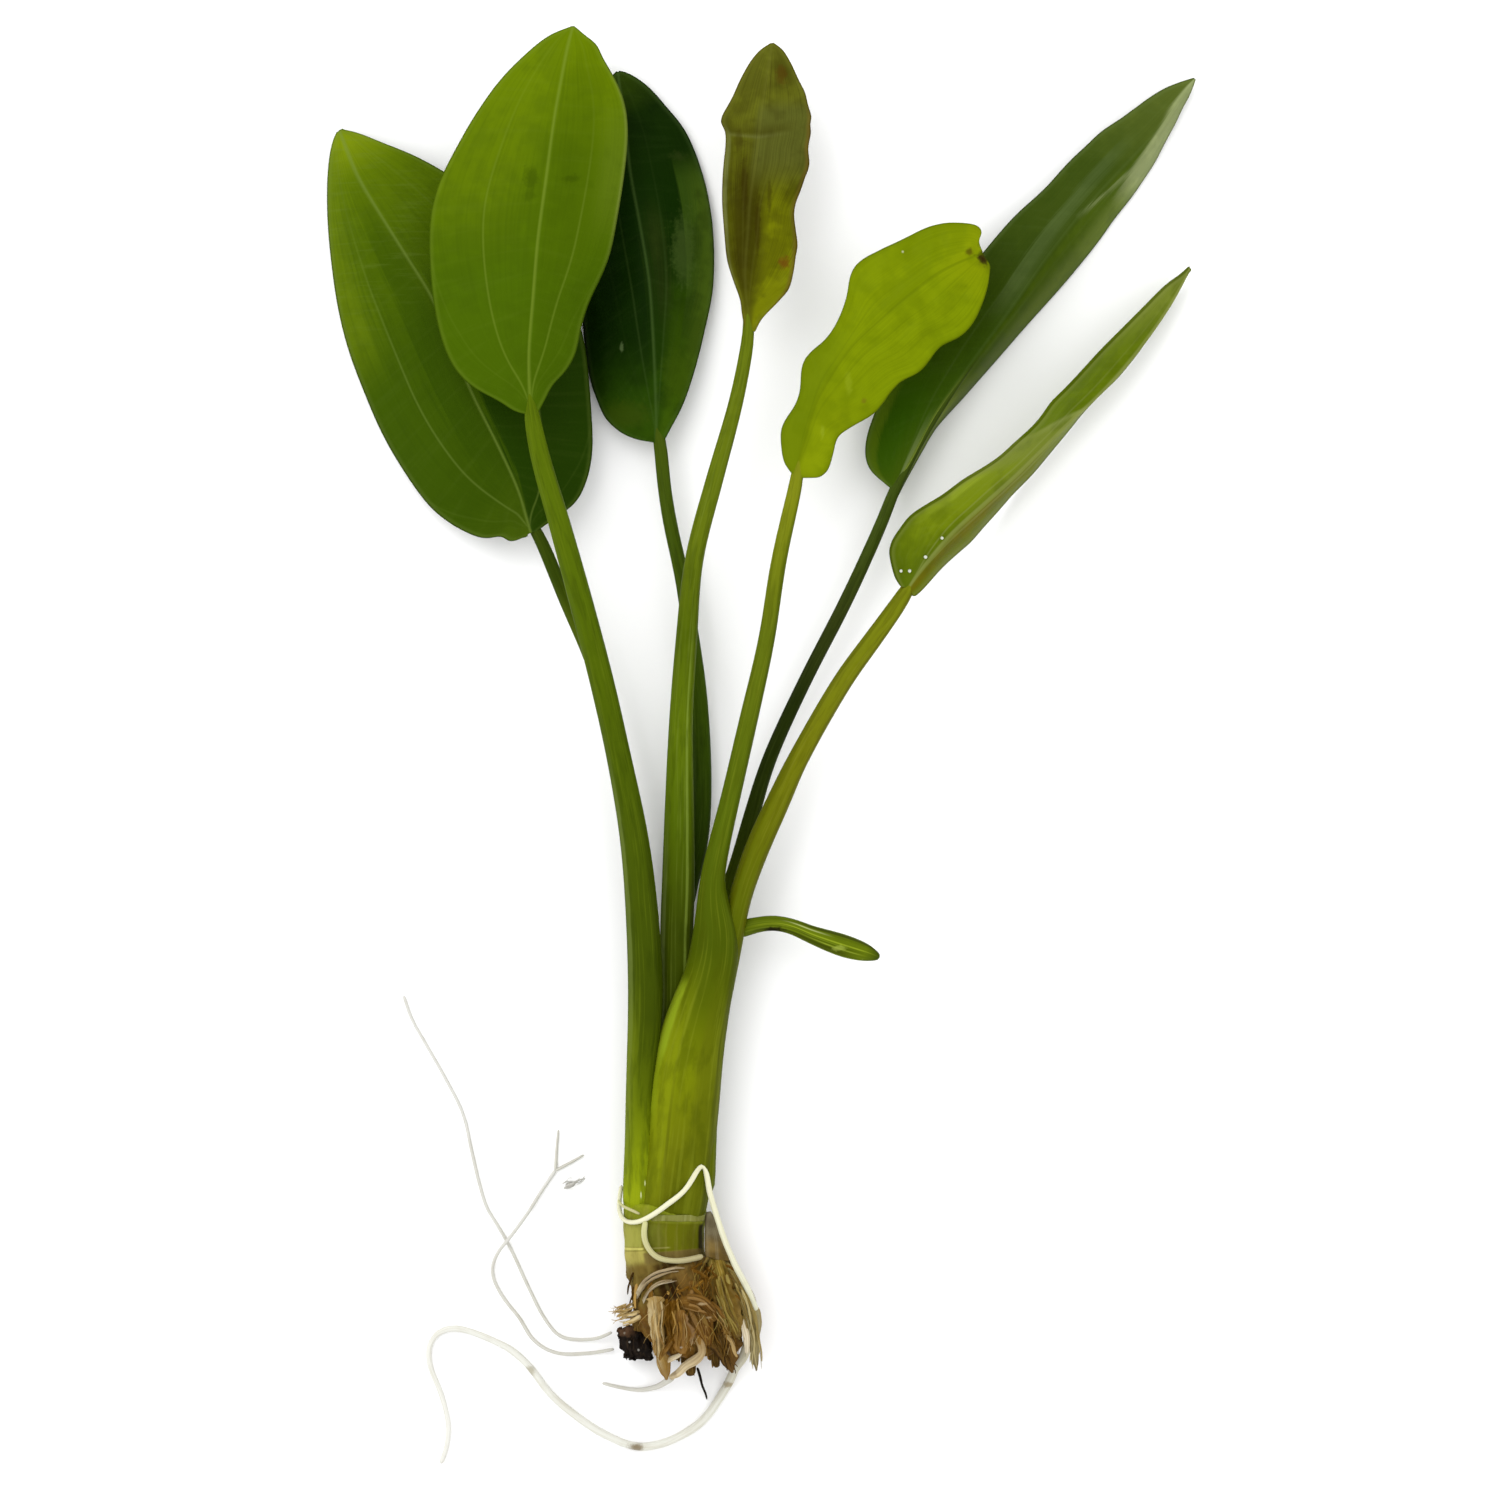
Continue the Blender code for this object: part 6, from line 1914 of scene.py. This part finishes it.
TUFTS = (
    Tuft("papery_arc_outer", PAPER_SKIN, (
        (-25.2, -111, 12.6, 0.3), (-24.2, -108.8, 14.4, 0.4), (-22.6, -106.8, 15.7, 0.5),
        (-20.3, -105.6, 16.7, 0.5), (-17.4, -104.8, 16.8, 0.5), (-14.6, -105, 16.2, 0.6)), 0, 7,
        (0.16, 0.42), (0.7, 1), 0.45, 0.4, Slot.CROWN, False),
    Tuft("papery_arc_inner", PAPER_SKIN, (
        (-23.8, -112, 14.4, 0.3), (-22.8, -109.6, 15.6, 0.3), (-21, -107.8, 16.6, 0.3),
        (-18.6, -107.2, 17.2, 0.3), (-16.2, -107, 17.4, 0.3)), 0, 5, (0.14, 0.34), (0.7, 1), 0.45, 0.3,
        Slot.CROWN, False),
    Tuft("stub_left_curl", SAND_SKIN, (
        (-21.6, -110.6, 15, 0.6), (-21.6, -112.4, 16.8, 0.9), (-20.9, -117, 15.4, 0.9),
        (-20.2, -121.6, 12.2, 0.8), (-19, -126.4, 8.2, 0.4)), 1, 5, (0.3, 0.5)),
    Tuft("stub_centre_left", GOLD_SKIN, (
        (-18, -111.2, 14.4, 0.8), (-17.6, -113, 16.4, 1), (-17.4, -116.6, 15.8, 1.2),
        (-17.2, -120.6, 13.4, 1)), 1.2, 8, (0.35, 0.7)),
    Tuft("stub_centre", KNOB_SKIN, (
        (-13.8, -107, 15, 1.6), (-13.2, -112.2, 16.6, 1.8), (-11.6, -116.8, 15.8, 1.5),
        (-10.6, -120.6, 13.8, 1)), 2.2, 10, (0.45, 1)),
    Tuft("knob_folds", KNOB_SKIN, (
        (-16.2, -111.6, 16.2, 1), (-14.2, -111.6, 17.6, 1.7), (-11.6, -112.8, 17.8, 1.9),
        (-9.4, -114.8, 16.4, 1.2)), 1.6, 20, (0.25, 0.6), (0.6, 1), 0.7, 0.5, in_frame=False),
    Tuft("stub_right_centre", OLIVE_SKIN, (
        (-9.6, -100.8, 9.6, 1), (-9.2, -104.4, 12.6, 1.6), (-7.8, -109.4, 14.4, 1.8),
        (-6.4, -114.4, 14, 1.6), (-5.4, -118.6, 12.2, 1.2)), 2, 10, (0.4, 0.8)),
    Tuft("stub_right_outer", STRAW_SKIN, (
        (-8.4, -102, 10, 1.2), (-6.4, -105.8, 11.8, 1.4), (-4.2, -109.8, 12.6, 1.1),
        (-2.2, -113.8, 12.4, 0.9), (-1.5, -118.6, 10.6, 0.8), (-1.4, -124, 7.6, 0.3)), 1.2, 10,
        (0.3, 0.6)),
    Tuft("stub_dark_strip", BROWN_SKIN,
        ((-9.4, -115.8, 11.2, 1.2), (-8.6, -119.6, 10.4, 1.4), (-7, -123.4, 8.6, 1)), 1.8, 7, (0.3, 0.7)),
    Tuft("stub_right_inner", CREAM_SKIN, (
        (-6.8, -110.4, 11.4, 0.3), (-4.2, -114.4, 13.6, 0.4), (-3.2, -118.4, 13.8, 0.4),
        (-3.1, -122.4, 11, 0.3)), 0.75, 4, (0.2, 0.4)),
    Tuft("stub_left_frayed", SAND_SKIN, (
        (-25.2, -112, 11.8, 0.9), (-27, -112.9, 11.8, 1.3), (-28.8, -113.7, 10.6, 1.5),
        (-30.4, -114.3, 9, 1.6)), 0, 30, (0.1, 0.24), (0.5, 1), 0.8, 0.7),
    Tuft("pale_left_fibres", SAND_SKIN, (
        (-23, -113.4, 12.8, 0.5), (-25.2, -114.4, 12.2, 0.8), (-27.2, -114.9, 10.8, 0.9),
        (-28.8, -115, 9.6, 0.9)), 0, 10, (0.2, 0.45), (0.6, 1), 0.7, 0.5, in_frame=False),
    Tuft("stub_left", BROWN_SKIN, (
        (-23.4, -106.8, 10.6, 0.3), (-23.8, -109.6, 11.4, 0.6), (-24.2, -113.4, 10.4, 1.2),
        (-24.4, -117.6, 7.6, 1.4)), 1.9, 14, (0.3, 0.6), wander=0.2),
    Tuft("stub_pale_cross", CROSS_SKIN, (
        (-13.8, -116.4, 15.6, 0.3), (-12.2, -119.6, 15.4, 0.4), (-11.9, -121.7, 14, 0.4),
        (-14.1, -123.5, 11.2, 0.4), (-16.5, -125.3, 7.8, 0.3), (-18.8, -126.9, 4.4, 0.2)), 1, 4,
        (0.25, 0.45), in_frame=True),
    Tuft("pale_inner_cross", CREAM_SKIN,
        ((-19.2, -123.2, 10.8, 0.2), (-17.4, -122.6, 11.8, 0.3), (-15.6, -121.6, 12.6, 0.2)), 0.55, 3,
        (0.2, 0.35), in_frame=False),
    Tuft("stub_inner_centre", BROWN_SKIN,
        ((-14.6, -116, 10.4, 1.2), (-14.4, -121, 9, 1.5), (-14.3, -126.2, 5.8, 1.2)), 1.7, 9),
    Tuft("stub_inner_left", GOLD_SKIN,
        ((-19.6, -113, 9.6, 1), (-19.2, -118.4, 8, 1.3), (-18.6, -123.8, 4.8, 1.2)), 1.2, 9),
    Tuft("stub_inner_right", BROWN_SKIN,
        ((-9.6, -114, 8.4, 1), (-9.4, -119.6, 6.6, 1.3), (-8.9, -125, 4.2, 1.2)), 1.2, 8),
    Tuft("stub_floor_left", TAN_SKIN,
        ((-20.8, -109, 3.6, 0.8), (-21, -114, 2.8, 1.2), (-20.6, -119, 1.9, 1.1), (-20, -123, 0.8, 0.8)),
        1.2, 7),
    Tuft("stub_floor_centre", BROWN_SKIN, (
        (-15.8, -109.4, 3.2, 0.8), (-15.6, -115, 2.4, 1.2), (-15.4, -120.4, 1.6, 1.1),
        (-15.6, -124.8, 0.8, 0.8)), 1.3, 7),
    Tuft("stub_floor_right", GOLD_SKIN, (
        (-11.6, -108.8, 3.8, 0.8), (-10.6, -114, 2.8, 1.2), (-10, -119, 1.8, 1.1),
        (-10.2, -123.4, 0.8, 0.8)), 1.2, 7),
    Tuft("stub_floor_outer", TAN_SKIN,
        ((-9.8, -106.4, 7, 0.6), (-6.8, -110, 5.6, 1), (-5.2, -114.6, 3.4, 1), (-5.4, -119.6, 0.8, 0.8)),
        1.2, 7),
    Tuft("root_skin_flake", FLUFF_SKIN,
        ((-40, -88.4, 0.5, 0.6), (-37.8, -87.4, 0.8, 1.2), (-35.8, -86.6, 0.5, 0.8)), 0, 8, (0.12, 0.3),
        (0.5, 1), 0.4, 1, Slot.WHITE_ROOT))

CROWN_SKIN = TubeFinish("crown_skin",
    ((0, 0x919e18), (0.12, 0x949c28), (0.2, 0x84862c), (0.38, 0x827434), (0.5, 0x806430), (0.7, 0x704e1c)),
    0x46340c, 0xb0a45c, 0.25, 0.12, length=28.6, rib_depth=0.3, roughness=0.5, mottle=0.3, panels=(
    Panel(-0.92, 0.42, 0.13, 0.335, 0x6a6e09, 0.95, (0.03, 0.03, 0.012, 0.01), streaks=0.06),
    Panel(0.02, 0.4, 0.14, 0.3, 0x7a802a, 0.7, (0.15, 0.05, 0.02, 0.03)),
    Panel(-0.8, -0.4, 0.14, 0.3, 0x62660e, 0.5, (0.1, 0.15, 0.02, 0.03)),
    Panel(-0.15, 0.34, 0.3, 0.31, 0xaca85c, 0.7, (0.05, 0.05, 0.006, 0.006)),
    stripe(-0.9, 0.06, 0.14, 0.35, 0x2e260a, 0.95, 0.015),
    Panel(0.55, 1.2, 0.14, 0.296, 0xacac4e, 0.9, (0.04, 0.1, 0.02, 0.004)),
    Panel(0.5, 1.2, 0.3, 0.316, 0xded872, 0.9, (0.04, 0.1, 0.005, 0.005)),
    Panel(0.45, 1.2, 0.322, 0.4, 0xc2b85e, 0.85, (0.06, 0.1, 0.006, 0.03)),
    Panel(-0.9, 0.5, 0.338, 0.42, 0x766434, 0.9, (0.05, 0.06, 0.006, 0.02)),
    Panel(-0.5, 0.3, 0.425, 0.47, 0x422c0e, 0.9, (0.1, 0.1, 0.012, 0.012)),
    Panel(0.36, 1.3, 0.42, 0.64, 0x7c682e, 0.9, (0.15, 0.1, 0.03, 0.05), streaks=0.6),
    # painted shade: a near black area stands for the dark hollow under the papery arcs
    Panel(-0.15, 0.36, 0.55, 0.67, 0x281404, 0.95, (0.1, 0.1, 0.02, 0.03))))

CROWN = Crown((
    (-19.2, -91.4, 8.7, 8.2, 6.8), (-19.4, -94, 8.7, 8.3, 6.9), (-19.5, -97, 8.7, 8.1, 6.9),
    (-19.4, -101, 8.7, 8, 6.8), (-18.9, -104.4, 8.9, 8, 6.9), (-17.6, -107.6, 9.2, 8.8, 7.4),
    (-16.2, -111.2, 9.2, 9.5, 7.9), (-15, -115, 8.8, 9.1, 7.5), (-14.2, -118.6, 8, 7.4, 6),
    (-13.8, -121, 7.4, 5.2, 4.4), (-13.7, -122.2, 7.2, 3, 2.6)), CROWN_SKIN)

SHEATH_RING = Collar("sheath_ring", (-18.9, -94, 8.7, 8, 7.1), (-19, -95.3, 8.7, 8.15, 7.25), -22, 80,
    0.12, GREEN_RING_SKIN, 11)

FLAPS = (
    flap("pale_band", (
        (-21.4, -110.2, 17, 0.6, 0.4), (-21, -112.6, 18.2, 1, 0.8), (-20.9, -117, 17, 1.1, 1),
        (-20.3, -121.6, 13.8, 1, 1), (-19.3, -125.2, 10.2, 0.6, 0.8), (-19, -127, 8.6, 0, 0)),
        ((-23.2, -110.8), (-22.6, -113), (-22.3, -117.2), (-21.5, -122), (-20.1, -125.6), (-19.2, -127.1)),
        ((-19.4, -110.4), (-19.4, -113), (-19.4, -117.4), (-18.9, -121.6), (-17.9, -124.4), (-18.8, -127)),
        ((0, 0xc8a864), (0.3, 0xc8a862), (0.7, 0xc49e50), (1, 0x966c24)), 0x845c20, 0xf6e4b4, panels=(
        Panel(-1.3, -0.2, 0.1, 0.8, 0xf6e0aa, 0.9, (0.1, 0.3, 0.1, 0.15), streaks=0.6),
        Panel(0.3, 1.3, 0.1, 1, 0xa0762c, 0.7, (0.2, 0.1, 0.1, 0.1), streaks=0.6))),
    flap("gold_band", (
        (-17.8, -110.4, 16.4, 0.4, 0.4), (-17.6, -113, 17.8, 0.8, 0.8), (-17.4, -116.6, 17.2, 1, 0.8),
        (-17.6, -119.6, 15.4, 0.8, 0.6), (-18, -121.6, 13.8, 0, 0)),
        ((-19.6, -110.6), (-19.7, -113.4), (-19.5, -117.2), (-18.9, -120.2), (-18.2, -121.6)),
        ((-15.6, -110.2), (-15.2, -113), (-15.6, -117), (-16.6, -120), (-17.8, -121.7)),
        ((0, 0x6e480c), (0.3, 0x8a5e12), (0.7, 0x82560e), (1, 0x603a08)), 0x4c2a02, 0xc49648),
    flap("tan_band", (
        (-16.4, -113, 18.4, 0.3, 0.3), (-15.9, -116.2, 18.4, 0.8, 0.8), (-15.7, -119, 16.8, 0.8, 0.8),
        (-15.8, -121.8, 14.4, 0, 0)), ((-17.2, -113.2), (-17.8, -116.6), (-17.9, -119.4), (-16.4, -121.9)),
        ((-15.4, -113), (-13.8, -116.4), (-13.2, -118.8), (-15.2, -121.8)),
        ((0, 0x906422), (0.4, 0xb0823e), (1, 0xa47838)), 0x704612, 0xd6b072,
        panels=(stripe(0.8, 0.2, 0.1, 0.8, 0xc8a87c, 0.7), stripe(-0.3, 0.15, 0.2, 0.9, 0x62401a, 0.6)),
        # painted highlight: a small white glint near the band's end
        patches=(Patch((-16.1, -120.6, 16), 0.35, 0xe8dcc4, 0.8),)),
    flap("olive_band", (
        (-8.6, -105.6, 14.8, 0.4, 0.6), (-7.8, -109.4, 16.4, 1, 1.2), (-6.8, -112.8, 16.4, 1.2, 1.4),
        (-5.6, -115.8, 15.2, 1, 1.2), (-4.6, -118.6, 13.2, 0, 0)),
        ((-10.4, -106.2), (-10, -110), (-9.4, -113.6), (-7.8, -116.8), (-5.2, -118.8)),
        ((-6.8, -105.2), (-5.2, -108.8), (-4, -112.4), (-3.3, -115.4), (-3.9, -118.4)),
        ((0, 0x8e6e22), (0.3, 0x9e7e30), (0.7, 0xb69448), (1, 0x906c2a)), 0x543a0e, 0xd6c082,
        panels=(stripe(-0.5, 0.2, 0.2, 0.9, 0x543c10, 0.6), stripe(0.3, 0.12, 0.3, 1, 0xb09862, 0.6))),
    flap("straw_band", (
        (-5.6, -106.6, 13.4, 0.4, 0.6), (-3.6, -110.4, 14.4, 0.8, 1.4), (-2.2, -114.4, 14, 0.8, 1.6),
        (-1.5, -118, 12.4, 0.6, 1.2), (-1.2, -121, 10.6, 0.5, 0.8), (-1.1, -123.4, 9, 0.2, 0.3),
        (-1, -125.2, 8, 0, 0)), (
        (-7.2, -107), (-5.6, -111.2), (-3.9, -115), (-2.7, -118.2), (-2.1, -121.2), (-1.7, -123.6),
        (-1.1, -125.3)), (
        (-4.2, -106.2), (-1.6, -109.8), (-0.4, -113.6), (-0.1, -117.2), (-0.3, -120.6), (-0.5, -123.2),
        (-0.9, -125.2)), ((0, 0xba9a48), (0.35, 0xd8be6c), (0.7, 0xcebc7e), (1, 0x6c6040)), 0x7a5e2a,
        0xe6deb8,
        panels=(stripe(0.75, 0.25, 0.15, 0.8, 0xbcb692, 0.7), stripe(-0.2, 0.1, 0.1, 0.9, 0x7a6234, 0.6))),
    flap("brown_wedge", (
        (-9.8, -114.4, 14.2, 0.5, 0.8), (-8.9, -118, 14, 1, 1.4), (-7.8, -121.4, 12.6, 1.2, 1.6),
        (-6.6, -123.8, 10.8, 0.8, 1), (-5.8, -125.6, 9.4, 0, 0)),
        ((-12.6, -115.6), (-12.2, -118.4), (-11, -120.4), (-9, -122.6), (-7.2, -124.4), (-6, -125.7)),
        ((-7, -114.2), (-5, -117.4), (-4.2, -120.2), (-4.7, -122.6), (-5.3, -124.4), (-5.6, -125.6)),
        ((0, 0x78541e), (0.4, 0x926c34), (1, 0x725026)), 0x321e08, 0xa88a5a,
        panels=(stripe(-0.85, 0.2, 0, 0.9, 0x301c08, 0.8), stripe(0.2, 0.12, 0.2, 0.9, 0x281806, 0.7))))

FIBRES_ON_FLAPS = (
    (SAND_SKIN, 16), (GOLD_SKIN, 16), (TAN_SKIN, 12), (OLIVE_SKIN, 20), (STRAW_SKIN, 18), (BROWN_SKIN, 12))
LOOSE = tuple(loose_fibres(band, skin, count) for band, (skin, count) in zip(FLAPS, FIBRES_ON_FLAPS))

SCRAP = (
    (0, 0, 0, 0.5, 0.3), (0.3, -1.8, 0.2, 0.9, 0.35), (-0.2, -3.8, 0.5, 0.7, 0.3),
    (0.4, -6, 0.1, 0.75, 0.25), (0, -8.2, -0.3, 0.3, 0.12))

FIBRE = (
    (0, 0, 0, 0.16, 0.16), (0.4, -2.5, 0.3, 0.15, 0.15), (0.2, -5.5, 0.9, 0.12, 0.12),
    (0.9, -8.5, 1, 0.08, 0.08), (0.7, -11, 0.6, 0.05, 0.05))

SCRAP_RIDGES = {0: 1.15, 1: 0.75, 3: 1.25, 5: 0.75, 6: 1.2}
SCATTERS = (
    Scatter("tan_scraps", SCRAP, TAN_SKIN, 8, 21, (-52, 70), (-113, -106.5), (0.5, 0.9),
        ridges=SCRAP_RIDGES),
    Scatter("gold_scraps", SCRAP, GOLD_SKIN, 10, 22, (-60, 85), (-113, -106), (0.5, 0.9),
        ridges=SCRAP_RIDGES),
    Scatter("brown_scraps", SCRAP, BROWN_SKIN, 30, 23, (-240, -126), (-114, -107), outwards=(-0.05, 0.15),
        ridges=SCRAP_RIDGES),
    Scatter("left_scraps", SCRAP, BROWN_SKIN, 10, 25, (-74, -40), (-109, -105), (0.4, 0.7), (-0.1, 0.05),
        (0.86, 0.98), lean=0.5, ridges=SCRAP_RIDGES),
    Scatter("root_fibres", FIBRE, GOLD_SKIN, 16, 26, (-35, 100), (-117, -111), (0.4, 0.8), (0, 0.3),
        sides=5))

BALL = (
    (-15.8, -100.6, 8.6, 8.6, 6.2), (-15.4, -104, 8.8, 10, 7.3), (-15, -108, 9.2, 10.8, 8.6),
    (-14.6, -112, 9.2, 11.2, 9.4), (-14.6, -116, 8.2, 11, 8.8), (-14.4, -120, 6.6, 9.6, 7.4),
    (-14.2, -124, 4.6, 7.5, 4.6))

TANGLE = (
    Scatter("gold_tangle", SCRAP, GOLD_SKIN, 22, 31, (0, 62), (-109, -103.6), (0.3, 0.6), (0, 0.25),
        (0.86, 0.98), lean=2.2, ridges=SCRAP_RIDGES),
    Scatter("tan_tangle", SCRAP, TAN_SKIN, 8, 32, (-20, 70), (-118, -110), (0.4, 0.8), (0, 0.15), (0.9, 1),
        lean=0.9, ridges=SCRAP_RIDGES),
    Scatter("straw_tangle", SCRAP, STRAW_SKIN, 18, 33, (42, 92), (-109, -101.4), (0.3, 0.6), (0, 0.15),
        (0.84, 0.98), lean=1.4, ridges=SCRAP_RIDGES),
    Scatter("brown_tangle", SCRAP, BROWN_SKIN, 10, 34, (-30, 95), (-118, -106), (0.4, 0.8), (0, 0.15),
        (0.8, 0.95), lean=1, ridges=SCRAP_RIDGES),
    Scatter("sand_fibre_tangle", FIBRE, SAND_SKIN, 30, 35, (-35, 80), (-117, -111), (0.3, 0.6), (0, 0.15),
        (0.94, 1.02), sides=5, lean=0.8),
    Scatter("gold_fibre_tangle", FIBRE, GOLD_SKIN, 90, 36, (-30, 90), (-117, -103), (0.3, 0.7), (0, 0.15),
        (0.94, 1.02), sides=5, lean=0.8),
    Scatter("olive_fibre_tangle", FIBRE, OLIVE_SKIN, 50, 37, (10, 95), (-116, -102), (0.3, 0.7), (0, 0.15),
        (0.92, 1.02), sides=5, lean=0.6))

CLUMP = Lump("dark_rot", (-25.4, -119.4, 3.7), (4.4, 4.6, 3.5), 1.7, 1, ROT_SKIN, Slot.SOIL, "dark_clump")
DROPS = Drops(
    ((27.9, 34.8, 16.7, 0.3), (29.6, 34.8, 15.7, 0.34), (32.8, 37.6, 15.6, 0.34), (36.1, 41.4, 15.2, 0.3)))

LEAVES = (DARK, RIGHT, LEFT, BRONZE, SLIM, YELLOW, BRIGHT)


def main() -> None:
    """Builds the plant and its studio."""
    for leaf in LEAVES:
        leaf.build()
        log.info("leaf %s done", leaf.name)
    finish_piece(YOUNG_LEAF.build(), "rolled_leaf", YOUNG_SKIN.material(), ["young_leaf"])
    CROWN.build()
    DRY_SHEATH.build()
    SHEATH_RING.build()
    for number, strand in enumerate((*STRANDS, *TUFTS, *LOOSE)):
        strand.build(number)
    for band in FLAPS:
        band.build()
    for scatter in SCATTERS:
        scatter.build(CROWN.stations)
    for scatter in TANGLE:
        scatter.build(BALL)
    CLUMP.build()
    DROPS.build()
    log.info("crown and roots done")
    Studio().build()


if __name__ == "__main__":
    logging.basicConfig(level=logging.INFO, format="%(message)s")
    main()
